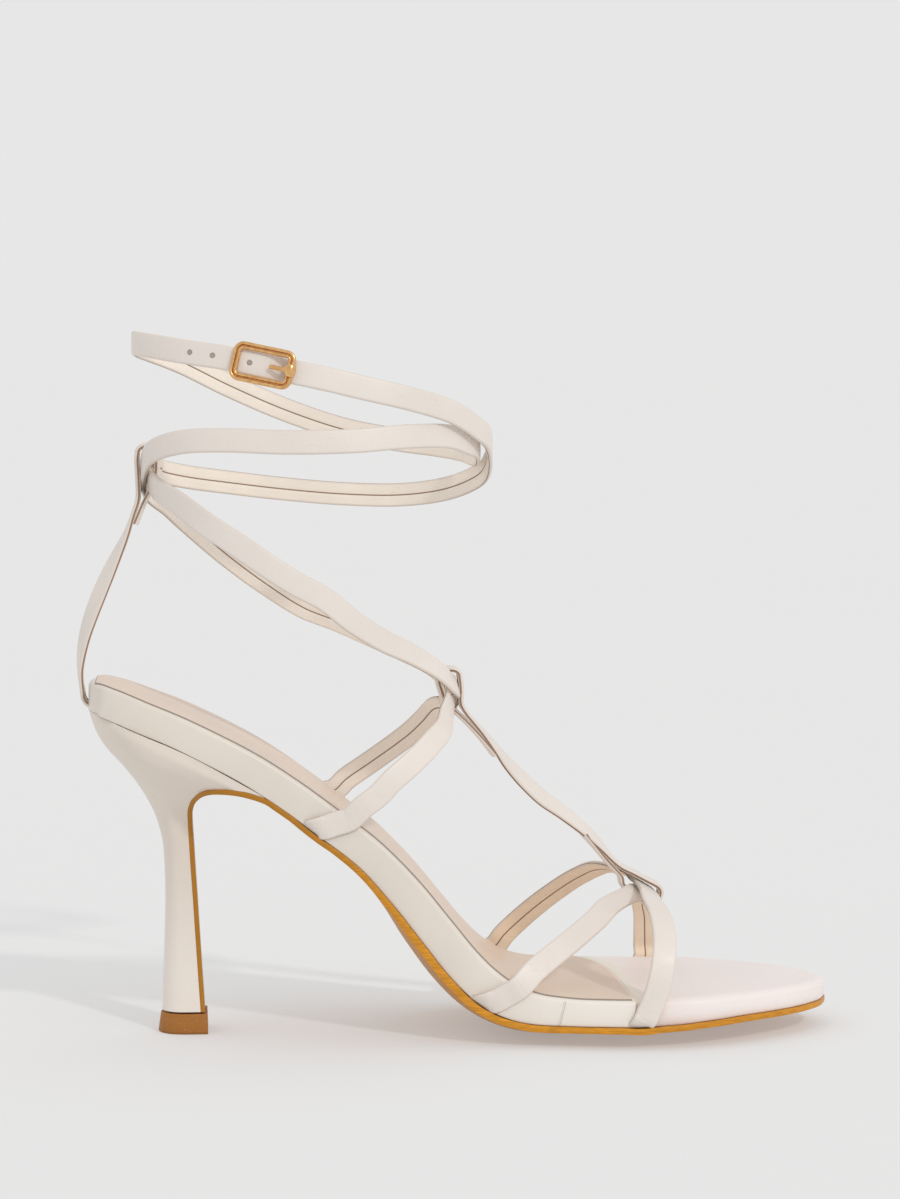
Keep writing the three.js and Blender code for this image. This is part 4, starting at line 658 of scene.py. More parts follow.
class Nodes:
    """A node tree, with short words for the steps that the materials take."""

    def __init__(self, tree):
        self.tree = tree

    def node(self, kind, label="", inputs=None, **settings):
        """A shader node with its settings, its inputs given as values or links."""
        made = self.tree.nodes.new("ShaderNode" + kind)
        made.label = label
        for key, value in settings.items():
            setattr(made, key, value)
        for key, value in (inputs or {}).items():
            self.feed(made.inputs[key], value)
        return made

    def feed(self, target, value):
        """Gives a socket a link or a value."""
        if isinstance(value, bpy.types.NodeSocket):
            self.tree.links.new(value, target)
        else:
            target.default_value = value

    def math(self, operation, *values):
        """One step of arithmetic on numbers or links."""
        return self.node("Math", inputs=dict(enumerate(values)), operation=operation).outputs[0]

    def times(self, first, second):
        """One value times another."""
        return self.math("MULTIPLY", first, second)

    def less(self, first, second):
        """One value less another."""
        return self.math("SUBTRACT", first, second)

    def scaled(self, value, share, start):
        """A value times a share, on top of a start."""
        return self.math("MULTIPLY_ADD", value, share, start)

    def unsigned(self, value):
        """A value without its sign."""
        return self.math("ABSOLUTE", value)

    def ranged(self, value, low, high, start=0.0, end=1.0):
        """A value carried smoothly from one range to another and held inside it."""
        inputs = dict(enumerate((value, low, high, start, end)))
        return self.node("MapRange", inputs=inputs, interpolation_type="SMOOTHSTEP").outputs[0]

    def mixed(self, factor, first, second):
        """Two colours mixed by a factor."""
        inputs = {0: factor, 6: first, 7: second}
        return self.node("Mix", inputs=inputs, data_type="RGBA").outputs[2]

    def drawn(self, place, scale, turn=(0.0, 0.0, 0.0)):
        """A place drawn out along each axis, and turned."""
        inputs = {"Vector": place, "Scale": scale, "Rotation": turn}
        return self.node("Mapping", "Drawn out", inputs).outputs[0]

    def noise(self, label, place, scale, detail, **more):
        """Noise at a place."""
        inputs = {"Vector": place, "Scale": scale, "Detail": detail, **more}
        return self.node("TexNoise", label, inputs).outputs[0]

    def axes(self, place):
        """The three numbers of a place."""
        return self.node("SeparateXYZ", inputs={"Vector": place}).outputs[:3]


def leather_grain(n, place, cells, creases):
    """Leather grain: rounded cells for the pores over soft noise, as height and as shade."""
    cell = n.node("TexVoronoi", "Pores", {"Vector": place, "Scale": cells, "Randomness": 0.9})
    soft = n.noise("Soft grain", place, 0.9, 5.0)
    long = n.noise("Creases", place, 0.35, 3.0, Distortion=1.2)
    fold = n.ranged(n.unsigned(n.less(long, 0.5)), 0.0, 0.045)
    fold = n.times(n.less(1.0, fold), creases)
    pore = n.ranged(cell.outputs[0], 0.15, 0.65)
    height = n.scaled(pore, 0.35, n.times(soft, 0.6))
    return n.less(height, fold), n.scaled(fold, 0.5, n.times(soft, 0.5))


def handling_marks(n, place, scuffs):
    """Handling: wide clouds of tone, and thin scuffs where stretched noise peaks."""
    wide = n.noise("Clouds", place, 0.035, 4.0, Roughness=0.55)
    thin = n.noise("Scuffs", n.drawn(place, (0.12, 1.1, 0.9), (0.3, 0.2, 0.5)), 1.0, 2.0)
    patch = n.noise("Where scuffed", place, 0.06, 1.0)
    scuff = n.times(n.ranged(thin, 0.62, 0.74), n.ranged(patch, 0.52, 0.66))
    return n.ranged(wide, 0.3, 0.7), n.times(scuff, scuffs)


def dust(n, place, amount):
    """Dust: small specks where fine noise peaks, thicker toward the floor."""
    low = n.ranged(n.axes(place)[2], 0.0, 40.0, 1.0, 0.25)
    fine = n.noise("Specks", place, 1.7, 3.0, Roughness=0.7)
    return (n.times(n.times(n.ranged(fine, 0.6, 0.74), low), amount),)


# Shared effects: how each is worked out, its numbers in and its numbers out.
EFFECTS = {
    "Leather grain": (leather_grain, ("Cells per mm", "Creases"), ("Height", "Shade")),
    "Handling marks": (handling_marks, ("Scuffs",), ("Tone", "Scuff")),
    "Dust": (dust, ("Amount",), ("Dust",)),
}


def effect_group(name):
    """The shader group of a shared effect, built once."""
    tree = bpy.data.node_groups.get(name)
    if tree is None:
        rule, given, made = EFFECTS[name]
        tree = bpy.data.node_groups.new(name, "ShaderNodeTree")
        new_socket = tree.interface.new_socket
        new_socket("Place", in_out="INPUT", socket_type="NodeSocketVector")
        for label in given:
            new_socket(label, in_out="INPUT", socket_type="NodeSocketFloat")
        for label in made:
            new_socket(label, in_out="OUTPUT", socket_type="NodeSocketFloat")
        start = tree.nodes.new("NodeGroupInput").outputs
        end = tree.nodes.new("NodeGroupOutput").inputs
        for k, value in enumerate(rule(Nodes(tree), *start[: 1 + len(given)])):
            tree.links.new(value, end[k])
    return tree


class Finish(Nodes):
    """A material under way: its colour so far, and places in millimetres."""

    def __init__(self, name, colour, **shine):
        self.material = bpy.data.materials.new(name)
        self.material.use_nodes = True
        super().__init__(self.material.node_tree)
        self.shader = self.tree.nodes["Principled BSDF"]
        settings = {"Specular IOR Level": 0.45, "Coat Roughness": 0.25}
        settings.update({key.replace("_", " "): value for key, value in shine.items()})
        for key, value in settings.items():
            self.shader.inputs[key].default_value = value
        self.colour = colour
        self.source = self.node("TexCoord", "Places").outputs
        self.place = self.drawn(self.source["Object"], (1 / MM,) * 3)
        self.x, self.y, self.z = self.axes(self.place)
        self.cloth = self.source["UV"]

    def effect(self, name, *values, place=None):
        """A shared effect with this material's own numbers."""
        group = effect_group(name)
        inputs = dict(enumerate((place or self.place, *values)))
        return self.node("Group", name, inputs, node_tree=group).outputs

    def painted(self, name):
        """A value that the mesh holds."""
        return self.node("Attribute", name, attribute_name=name).outputs["Fac"]

    def start(self, mask, low, high):
        """Begins with the material's colour between two gains."""
        self.base = self.mixed(mask, rgba(self.colour, low), rgba(self.colour, high))

    def tint(self, mask, share, gain, *hue, colour=None):
        """Mixes another tone of the colour in by a mask, or by a share of one."""
        factor = mask if share is None else self.times(mask, share)
        self.base = self.mixed(factor, self.base, rgba(colour or self.colour, gain, *hue))

    def relief(self, *terms):
        """Sum of heights, each with its own share: pairs of a socket and a number."""
        total = 0.0
        for socket, share in terms:
            total = self.scaled(socket, share, total)
        return total

    def done(self, roughness=None, height=None, depth=0.1):
        """Links colour and roughness, and the height through a bump in millimetres."""
        self.feed(self.shader.inputs["Base Color"], self.base)
        if roughness is not None:
            self.feed(self.shader.inputs["Roughness"], roughness)
        if height is not None:
            inputs = {"Strength": 1.0, "Distance": depth * MM, "Height": height}
            bump = self.node("Bump", "Relief", inputs)
            self.feed(self.shader.inputs["Normal"], bump.outputs[0])
        return self.material


def smooth_leather(name, colour, seam=None, roughness=0.42, coat=0.12, hem=None, pale=None):
    """Smooth dyed leather over a firm body: fine pores, faint tone clouds, scuffs and dust.

    A side seam is a narrow dark groove on both sides, where x is the given place plus a
    slope times the height; with it the leather is painted paler toward the toe, painted
    light on the footbed's front, and gets painted shade along its lower edge, strongest at
    the heel. A hem is a creamier strip, 3 mm wide, from that distance on; pale gives the two
    heights between which a lower part painted lighter ends, painted light on the heel's foot
    below its shaded top.
    """
    f = Finish(name, colour, Roughness=roughness, Coat_Weight=coat)
    grain_height, grain_shade = f.effect("Leather grain", 2.4, 0.12)
    tone, scuff = f.effect("Handling marks", 0.5)
    specks = f.effect("Dust", 0.12)[0]
    f.start(tone, 0.975, 1.02)
    f.tint(scuff, 0.25, 0.8, 1, 0.93, 0.8649)
    f.tint(grain_shade, 0.12, 0.82)
    height = f.relief((grain_height, 0.35))
    # Painted light: the lower part of the leather is painted lighter and cooler, standing in for
    # the heel's lit foot below its shaded top.
    if pale:
        f.tint(f.ranged(f.z, *pale, 0.9, 0.0), None, 1, 1.1, 1.13, 1.17)
    if hem is not None:
        reach = f.less(f.axes(f.cloth)[0], hem)
        f.tint(f.ranged(reach, 2.6, 3.3, 0.9, 0.0), None, 1, 0.98, 1, 0.93)
    if seam:
        place, bottom, slope = seam
        across = f.less(f.x, f.scaled(f.less(f.z, bottom), slope, place))
        near = f.less(1.0, f.ranged(f.unsigned(across), 0.08, 0.42))
        side = f.ranged(f.unsigned(f.y), 30.0, 33.0)
        near = f.times(f.times(near, side), f.ranged(f.z, 13.4, 14.0, 1.0, 0.0))
        f.tint(near, 0.5, 0.4)
        height = f.less(height, f.times(near, 2.5))
        # Painted light: the leather is painted paler toward the toe, where the footbed's front
        # catches more light.
        f.tint(f.ranged(f.x, -60.0, -14.0, 0.0, 0.9), None, 1, 1.18, 1.21, 1.24)
        # Painted shade: a dark band along the footbed's lower edge, strongest at the heel where the
        # footbed meets the heel cover.
        foot = f.times(f.painted("foot"), f.ranged(f.x, -118.0, -108.0, 0.75, 0.25))
        f.tint(foot, None, 1, 0.35, 0.25, 0.18)
    f.tint(specks, None, 1, colour=(0.62, 0.6, 0.57))
    rough = f.scaled(scuff, 0.2, f.scaled(tone, 0.1, roughness - 0.05))
    return f.done(rough, height)


def strap_leather(name, colour, seam, sizes, holes=(), line=0.14):
    """Outer face of a strap: pores, cross creases where it bends, burnished turned edges.

    Each punched hole is a round of the given size at its distance along the strap, with
    a pressed rim; creases are noise drawn out across the strap; a thin brown line runs
    where the turned edge meets the lining.
    """
    f = Finish(name, colour, Roughness=0.42, Coat_Weight=0.1, Specular_IOR_Level=0.4)
    along, across = f.axes(f.cloth)[:2]
    grain_height, grain_shade = f.effect("Leather grain", 2.6, 0.1, place=f.cloth)
    tone, scuff = f.effect("Handling marks", 0.6)
    specks = f.effect("Dust", 0.08)[0]
    half = sizes.strap_width / MM / 2
    away = f.unsigned(across)
    edge = f.ranged(away, half - 0.7, half - 0.1)
    side_line = f.unsigned(f.less(away, half + 0.75))
    side_line = f.less(1.0, f.ranged(side_line, line - 0.12, line + 0.05))
    crease = f.noise("Cross creases", f.drawn(f.cloth, (1.3, 0.16, 1.0)), 1.0, 3.0, Distortion=0.4)
    fold = f.times(f.ranged(crease, 0.42, 0.62), f.scaled(f.painted("bend"), 0.85, 0.12))
    f.start(tone, 0.965, 1.02)
    f.tint(edge, 0.3, 0.84, 1, 0.94, 0.86)
    f.tint(fold, 0.14, 0.8, 1, 0.96, 0.9)
    f.tint(grain_shade, 0.1, 0.84)
    f.tint(scuff, 0.3, 0.75, 1, 0.9, 0.8)
    f.tint(side_line, 0.85, 1, 0.9, 0.75, 0.5, colour=seam)
    height = f.relief((grain_height, 0.3), (fold, -0.6), (scuff, -0.3), (side_line, -1.2))
    radius = sizes.hole_width / MM / 2
    for place in holes:
        offset = f.math("POWER", f.unsigned(f.less(along, place)), 2.0)
        distance = f.math("SQRT", f.math("ADD", offset, f.math("POWER", away, 2.0)))
        inside = f.less(1.0, f.ranged(distance, radius - 0.14, radius + 0.05))
        rim = f.less(1.0, f.ranged(distance, radius, radius + 0.4))
        f.tint(rim, 0.3, 0.6, 1, 0.88, 0.75)
        # Painted shade: the inside of each punched hole is painted dark.
        f.tint(inside, None, 1, 0.5, 0.45, 0.4)
        height = f.less(f.less(height, f.times(inside, 6.0)), f.times(rim, 1.5))
    f.tint(specks, None, 1, colour=(0.6, 0.58, 0.55))
    return f.done(f.less(f.scaled(tone, 0.1, 0.38), f.times(edge, 0.06)), height)


def strap_lining(name, colour, thread):
    """Inner face of a strap: soft lining with a sewn line down its middle.

    The line is a groove at the middle of the map, and the stitches in it are short
    raised lengths, 2.6 mm apart, that lie a little aslant.
    """
    f = Finish(name, colour, Roughness=0.62, Specular_IOR_Level=0.3, Sheen_Weight=0.08)
    along, across = f.axes(f.cloth)[:2]
    grain_height, grain_shade = f.effect("Leather grain", 1.9, 0.15, place=f.cloth)
    tone, scuff = f.effect("Handling marks", 0.7)
    away = f.unsigned(across)
    line = f.less(1.0, f.ranged(away, 0.1, 0.28))
    beat = f.math("PINGPONG", f.scaled(across, 0.5, along), 1.3)
    stitch = f.times(line, f.ranged(beat, 0.3, 0.55))
    f.start(tone, 0.94, 1.04)
    f.tint(grain_shade, 0.15, 0.75)
    # Painted shade: the lining is painted darker and warmer toward its edges.
    f.tint(f.ranged(away, 2.6, 3.3), 0.35, 0.9, 1, 0.88, 0.76)
    f.tint(line, 0.85, 0.6, colour=thread)
    f.tint(stitch, 0.25, 1.1, colour=thread)
    f.tint(scuff, 0.35, 0.6)
    height = f.relief((grain_height, 0.4), (line, -0.3), (stitch, 0.3))
    return f.done(f.scaled(tone, 0.1, 0.56), height, 0.12)


def measure(name, description, default, low, high):
    """A size in metres that a user would change."""
    kind = {"subtype": "DISTANCE", "unit": "LENGTH"}
    return bpy.props.FloatProperty(
        name=name, description=description, default=default, min=low, max=high, **kind
    )


def dye(name, description, *default):
    """A colour that a user would change, from its screen values."""
    kind = {"subtype": "COLOR", "size": 3, "min": 0, "max": 1}
    return bpy.props.FloatVectorProperty(
        name=name, description=description, default=paint(*default), **kind
    )


class SandalSizes(bpy.types.PropertyGroup):
    """Sizes that a user would change."""

    strap_width: measure("Strap width", "Width of every strap", 0.0071, 0.003, 0.015)
    strap_thickness: measure("Strap thickness", "Leather with its lining", 0.0016, 0.0008, 0.004)
    strap_edge: measure("Strap edge", "Radius of the turned edges", 0.0006, 0.0001, 0.001)
    hole_width: measure("Punched hole", "Width of the holes in the tail", 0.0014, 0.001, 0.004)
    rand_round: measure("Footbed edge", "Rounding of its upper edge", 0.0013, 0.0004, 0.003)
    toe_round: measure("Toe pad edge", "Rounding of the padded toe part", 0.0032, 0.001, 0.005)
    sock_thickness: measure("Sock thickness", "Sheet on the footbed", 0.0008, 0.0004, 0.002)
    sock_inset: measure("Sock inset", "From the footbed's edge to the sock's", 0.002, 0.0, 0.004)
    sole_thickness: measure("Sole thickness", "Leather outsole at the ball", 0.002, 0.001, 0.004)
    buckle_length: measure("Buckle length", "Along the strap", 0.0183, 0.01, 0.03)
    buckle_width: measure("Buckle width", "Across the strap", 0.0114, 0.008, 0.02)
    buckle_bar: measure("Buckle bar", "Width of the frame's bars", 0.0022, 0.001, 0.003)


class SandalColours(bpy.types.PropertyGroup):
    """Colours that a user would change, as linear light."""

    strap: dye("Strap leather", "Outer face of the straps", 231, 222, 214)
    lining: dye("Strap lining", "Inner face of the straps", 246, 236, 224)
    thread: dye("Thread", "Line of stitches in the lining", 140, 98, 62)
    rand: dye("Footbed leather", "Covered side of the footbed", 225, 216, 205)
    toe: dye("Toe leather", "Padded toe part", 241, 231, 227)
    sock: dye("Sock leather", "Under the foot", 227, 208, 192)
    heel: dye("Heel leather", "Cover of the heel", 226, 215, 203)
    sole: dye("Sole leather", "Bare leather of the outsole", 190, 128, 40)
    sole_edge: dye("Sole edge", "Dressed edge of the outsole", 216, 146, 34)
    tip: dye("Heel tip", "Rubber under the heel", 166, 106, 36)
    metal: dye("Buckle metal", "Plated buckle and prong", 234, 190, 134)
    room: dye("Room light", "Even light from all round", 231, 231, 231)
    floor: bpy.props.FloatProperty(
        name="Floor", description="Grey of the plain pale floor", default=0.53, min=0, max=1
    )
    floor_glow: bpy.props.FloatProperty(
        name="Floor glow", description="Light of the floor itself", default=0.298, min=0, max=1
    )


def chosen(context):
    """The scene's sizes and colours."""
    return context.scene.sandal_sizes, context.scene.sandal_colours


def underside(section, q):
    """Height of the footbed's underside: its depth and its belly below the top edge."""
    return -section.depth[:, None] - section.swell(q)


def toward_seam(along):
    """Fades in over the last tenth before the toe seam."""
    return ease(TOE_SEAM - 0.1, TOE_SEAM, along)


class SANDAL_OT_footbed(bpy.types.Operator):
    """Builds the covered footbed from the heel to the toe seam"""

    bl_idname = "sandal.footbed"
    bl_label = "Footbed"

    def execute(self, context):
        sizes, colours = chosen(context)
        edge = sizes.rand_round / MM
        shares = spread(0.0, TOE_SEAM, 250, True, False)
        last_gaps = np.array([5.0, 2.6, 1.4, 0.7, 0.25, 0.0]) / 2
        shares[-6:] = TOE_SEAM - last_gaps / LAST_LENGTH
        points, uv, values = bed_points(
            shares,
            inset=lambda a: 0 * a,
            drop=0.42,
            floor=underside,
            reach=edge,
            fall=edge,
            crown=0.22,
            fade=toward_seam,
            open_end="front",
        )
        piece = grid_mesh("footbed_cover", points, uv=uv, values=values)
        leather = smooth_leather("Footbed leather", colours.rand, seam=RAND_SEAM)
        hand_over(piece, "cream_leather", "footbed", leather)
        return {"FINISHED"}


class SANDAL_OT_toe_bed(bpy.types.Operator):
    """Builds the padded toe part in front of the seam"""

    bl_idname = "sandal.toe_bed"
    bl_label = "Toe part"

    def execute(self, context):
        sizes, colours = chosen(context)
        edge = sizes.toe_round / MM
        start = TOE_SEAM + 0.04 / LAST_LENGTH
        points, uv, values = bed_points(
            spread(start, 1.0, 170, True, True),
            inset=lambda a: 1.2 * (1 - 0.6 * ease(start + 0.05, start + 0.1, a)),
            drop=0.0,
            floor=underside,
            reach=edge,
            fall=0.62 * edge,
            crown=0.3,
            fade=lambda a: 1 - ease(start, start + 0.09, a),
            corner=0.7,
            open_end="back",
        )
        piece = grid_mesh("toe_pad", points, uv=uv, values=values)
        hem = TOE_SEAM * LAST_LENGTH
        leather = smooth_leather("Toe leather", colours.toe, roughness=0.46, coat=0.08, hem=hem)
        hand_over(piece, "pink_leather", "toe_bed", leather)
        return {"FINISHED"}


class SANDAL_OT_sock(bpy.types.Operator):
    """Builds the thin sock on the footbed, with a painted highlight along its cut front edge and
    painted shade along its sides
    """

    bl_idname = "sandal.sock"
    bl_label = "Sock"

    def execute(self, context):
        sizes, colours = chosen(context)
        points, uv, values = bed_points(
            spread(0.009, TOE_SEAM, 230, True, False),
            inset=lambda a: 0 * a + sizes.sock_inset / MM,
            drop=0.0,
            floor=lambda s, q: 0 * q - sizes.sock_thickness / MM,
            reach=0.3,
            fall=0.36,
            crown=0.0,
            fade=toward_seam,
            corner=0.05,
            open_end="front",
        )
        piece = grid_mesh("sock_sheet", points, uv=uv, values=values)
        f = Finish("Sock leather", colours.sock, Roughness=0.5, Coat_Weight=0.06)
        along = f.axes(f.cloth)[0]
        grain_height, grain_shade = f.effect("Leather grain", 2.2, 0.2)
        tone, scuff = f.effect("Handling marks", 0.8)
        seam = TOE_SEAM * LAST_LENGTH
        front = f.ranged(along, seam - 1.0, seam - 0.3)
        f.start(tone, 0.95, 1.03)
        f.tint(grain_shade, 0.16, 0.8)
        f.tint(scuff, 0.3, 0.7)
        f.tint(f.ranged(along, 60.0, seam, 0.0, 0.5), None, 1, 1, 0.97, 0.9)
        # Painted shade: a dark line along the sock's side edge, where it meets the footbed's rim.
        f.tint(f.times(f.ranged(f.painted("rim"), 0.02, 0.3), f.less(1.0, front)), 0.85, 0.3)
        # Painted highlight: a pale line along the sock's cut front edge.
        f.tint(front, 0.8, 1, colour=(0.86, 0.8, 0.72))
        height = f.relief((grain_height, 0.4), (scuff, -0.4))
        leather = f.done(f.scaled(tone, 0.12, 0.44), height)
        hand_over(piece, "nude_leather", "sock", leather)
        return {"FINISHED"}


class SANDAL_OT_heel(bpy.types.Operator):
    """Builds the covered heel and its rubber tip"""

    bl_idname = "sandal.heel"
    bl_label = "Heel"

    def execute(self, context):
        colours = chosen(context)[1]
        piece = grid_mesh("heel_cover", heel_points(), sharp=60.0)
        leather = smooth_leather("Heel leather", colours.heel, pale=(15.0, 55.0))
        hand_over(piece, "cream_heel", "heel", leather)
        back = heel_back() + HEEL[0][0] * HEEL_LENGTH
        turn = np.linspace(-math.pi / 2, math.pi / 2, 49)[None, :]
        c = 1 - np.cos(turn)
        u = np.maximum(0, 1 - c / 0.62)
        top = TIP_HEIGHT - GAP
        levels = [(0.9, 0.0), (1.25, 0.12), (1.4, 0.45), (0.5, 5.5), (0.4, 5.8), (0.0, top)]
        grow, z = np.array(levels).T[:, :, None]
        x = back - 0.8 * grow + c * (TIP_LENGTH + grow)
        y = (TIP_WIDTH + grow) / 2 * np.sqrt(1 - u**2.6) * np.sign(turn)
        tip = grid_mesh("heel_tip_rubber", np.stack(np.broadcast_arrays(x, y, z), -1))
        f = Finish("Heel tip rubber", colours.tip, Roughness=0.55)
        tone, scuff = f.effect("Handling marks", 1.0)
        wave = {"Vector": f.place, "Scale": 0.55, "Distortion": 1.5, "Detail": 2.0}
        layers = f.node("TexWave", "Layers", wave, bands_direction="Z").outputs["Fac"]
        f.start(tone, 0.86, 1.08)
        f.tint(layers, 0.12, 0.6)
        f.tint(f.ranged(f.z, 0.0, 1.2, 0.55, 0.0), None, 0.45)
        f.tint(f.effect("Dust", 0.5)[0], None, 1, colour=(0.5, 0.48, 0.44))
        height = f.relief((layers, 0.25), (scuff, -0.6))
        hand_over(tip, "tip_rubber", "heel_tip", f.done(None, height, 0.12))
        return {"FINISHED"}


def sole_rings(sizes):
    """Rings of the outsole: a flap up the heel's front, then the layer under the footbed.

    Each ring is an upper line, a bulging side, a lower line and the other side; d is 0
    on the upper line and 1 on the lower, v runs across from -1 to 1.
    """
    thick = sizes.sole_thickness / MM
    v = np.sin(np.linspace(-math.pi / 2, math.pi / 2, 25))[None]
    rows = np.array(HEEL[:-1])
    shares = spread(0.262, 1.0, 62, False, True)
    s = Section(shares)
    skin = np.maximum(s.skin, 0.8 + 0.12 * ease(0.3, 0.42, shares))[:, None]
    flap_skin = np.linspace(0.62, 0.8, len(rows))[:, None]
    level = 0 * rows[:, 2]
    front = [heel_back() + rows[:, 2] * HEEL_LENGTH, level, rows[:, 3] * SEAT_HEIGHT]
    front = np.stack(front, -1)
    breadth = rows[:, 4] * HEEL_BREADTH / 2
    join = s.top[0] - s.normal[0] * s.depth[0]
    line = np.concatenate([front[:1], front, [join]])
    t = unit(line[2:] - line[:-2])
    away = np.stack([t[:, 2], level, -t[:, 0]], -1)

    def flap(d):
        out = away[:, None] * (0.03 + d * thick * flap_skin)[..., None]
        return front[:, None] + out + (breadth[:, None] * v)[..., None] * SIDEWAYS

    def under(d):
        grow = ease(0.3, 0.45, shares) * (0.4 * (1 - ease(0.85, 0.95, shares)) + 0.3)
        q = v * np.where(v < 0, (s.outer + grow)[:, None], (s.inner + grow)[:, None])
        n = -s.depth[:, None] + 0.08 - s.swell(q) - d * thick * skin
        for low, _, sign in TUCKS.values():
            lump = np.exp(-(((shares - low - 0.002) * LAST_LENGTH / 4.2) ** 4))[:, None]
            n = n - 0.25 * lump * ease(0.72, 0.95, np.abs(v)) * (np.sign(v) == sign)
        return s.at(q * (1 - 0.006 * d), n)

    upper, lower = (np.concatenate([flap(d), under(d)]) for d in (0.0, 1.0))
    share = np.array([0.25, 0.5, 0.75])[None, :, None]
    bulge = 0.22 * np.sin(math.pi * share) * SIDEWAYS
    right = upper[:, -1:] * (1 - share) + lower[:, -1:] * share + bulge
    left = lower[:, :1] * (1 - share) + upper[:, :1] * share - bulge
    rings = through(np.concatenate([upper, right, lower[:, ::-1], left], 1), 6)
    rings[..., 2] = np.maximum(rings[..., 2], 0.0)
    ring = np.arange(rings.shape[1])
    count = v.size
    rim = ((ring >= count - 1) & (ring < count + 3)) | (ring >= 2 * count + 2)
    return rings, rim.astype(np.int32)


class SANDAL_OT_outsole(bpy.types.Operator):
    """Builds the leather outsole up the front of the heel and on under the footbed"""

    bl_idname = "sandal.outsole"
    bl_label = "Outsole"

    def execute(self, context):
        sizes, colours = chosen(context)
        rings, rim = sole_rings(sizes)
        uv = np.stack(np.broadcast_arrays(run_along(rings.mean(1))[:, None], rings[..., 1]), -1)
        piece = grid_mesh("outsole_leather", rings, uv=uv, slots=rim, sharp=40.0)
        shine = {"Coat_Weight": 0.06, "Specular_IOR_Level": 0.3}
        f = Finish("Sole leather", colours.sole, Roughness=0.46, Coat_Roughness=0.3, **shine)
        grain_height, grain_shade = f.effect("Leather grain", 1.6, 0.1)
        tone, scuff = f.effect("Handling marks", 1.0)
        f.start(tone, 0.86, 1.1)
        f.tint(grain_shade, 0.25, 0.7)
        f.tint(scuff, 0.4, 0.5)
        f.tint(f.ranged(f.z, 0.1, 2.2, 0.45, 0.0), None, 0.55)
        f.tint(f.effect("Dust", 0.35)[0], None, 1, colour=(0.55, 0.5, 0.44))
        height = f.relief((grain_height, 0.5), (scuff, -0.5))
        leather = f.done(f.scaled(tone, 0.15, 0.36), height, 0.12)
        f = Finish("Sole edge", colours.sole_edge, Roughness=0.42, Coat_Roughness=0.2, **shine)
        tone, scuff = f.effect("Handling marks", 1.0)
        fibres = f.noise("Fibres", f.drawn(f.place, (0.25, 0.25, 2.4)), 1.0, 4.0)
        f.start(f.ranged(fibres, 0.35, 0.65), 0.82, 1.12)
        f.tint(tone, 0.3, 0.6)
        # Painted shade: the sole's edge is painted darker toward the heel, where it runs under the
        # arch.
        f.tint(f.ranged(f.x, -112.0, -60.0, 0.85, 0.0), None, 0.56)
        height = f.relief((fibres, 0.6), (scuff, -0.6))
        hand_over(piece, "tan_sole", "outsole", leather, f.done(None, height))
        return {"FINISHED"}


class SANDAL_OT_ankle_straps(bpy.types.Operator):
    """Builds the two long straps that cross over the instep and wrap the ankle"""

    bl_idname = "sandal.ankle_straps"
    bl_label = "Ankle straps"

    def execute(self, context):
        sizes, colours = chosen(context)
        thick = sizes.strap_thickness / MM
        dyes = (colours.strap, colours.thread, sizes)
        lining = strap_lining("Strap lining", colours.lining, colours.thread)
        points, outs = with_tucks("ankle_a", ANKLE_STRAP_A, None, thick)
        line, _, run = carried(points, outs, 0.8)
        tail = run > run[-1] - 60
        holes = [float(np.interp(x, line[tail, 0], run[tail])) for x in HOLE_PLACES]
        piece = strap_mesh("ankle_strap_long", points, outs, sizes)
        leather = strap_leather("Tail leather", *dyes, holes)
        hand_over(piece, "cream_strap", "ankle_strap_a", leather, lining)
        piece = strap_mesh(
            "ankle_strap_short", *with_tucks("ankle_b", ANKLE_STRAP_B, None, thick), sizes
        )
        leather = strap_leather("Strap leather", *dyes)
        hand_over(piece, "cream_strap", "ankle_strap_b", leather, lining)
        return {"FINISHED"}


class SANDAL_OT_toe_straps(bpy.types.Operator):
    """Builds the two straps that cross over the toes"""

    bl_idname = "sandal.toe_straps"
    bl_label = "Toe straps"

    def execute(self, context):
        sizes, colours = chosen(context)
        # Painted shade: the toe straps' lining is the strap lining painted darker and warmer, as if
        # in shade.
        shaded_lining = rgba(colours.lining, 1, 1, 0.93, 0.84)
        lining = strap_lining("Toe strap lining in painted shade", shaded_lining, colours.thread)
        leather = bpy.data.materials["Strap leather"]
        for name, node, first, table, last in (
            ("toe_strap_low", "toe_strap_a", "ball_outer", TOE_STRAP_A, "toe_inner"),
            ("toe_strap_high", "toe_strap_b", "ball_inner", TOE_STRAP_B, "toe_outer"),
        ):
            points, outs = with_tucks(first, table, last, sizes.strap_thickness / MM)
            piece = strap_mesh(name, points, outs, sizes, step=0.5)
            hand_over(piece, "cream_strap", node, leather, lining)
        return {"FINISHED"}


class SANDAL_OT_middle_straps(bpy.types.Operator):
    """Builds the looped strap over the instep and the one up the heel"""

    bl_idname = "sandal.middle_straps"
    bl_label = "Middle straps"

    def execute(self, context):
        sizes, colours = chosen(context)
        leather = strap_leather("Loop leather", colours.strap, colours.thread, sizes, line=0.3)
        lining = bpy.data.materials["Strap lining"]
        for name, node, table, sign in (
            ("centre_strap_loop", "centre_strap", CENTRE_STRAP, -1),
            ("heel_strap_loop", "heel_strap", HEEL_STRAP, 1),
        ):
            piece = strap_mesh(name, *middle_rows(table, sign), sizes, step=0.5)
            hand_over(piece, "cream_strap", node, leather, lining)
        return {"FINISHED"}


def buckle_place():
    """Middle and axes of the buckle: along the strap, across it and outward."""
    points, outs = with_tucks("ankle_a", ANKLE_STRAP_A, None, 1.6)
    row = TUCK_ROWS + BUCKLE_ROW
    ahead = unit(points[row + 1] - points[row - 1])
    out = unit(outs[row] - ahead * (outs[row] @ ahead))
    return points[row], np.stack([ahead, np.cross(out, ahead), out])


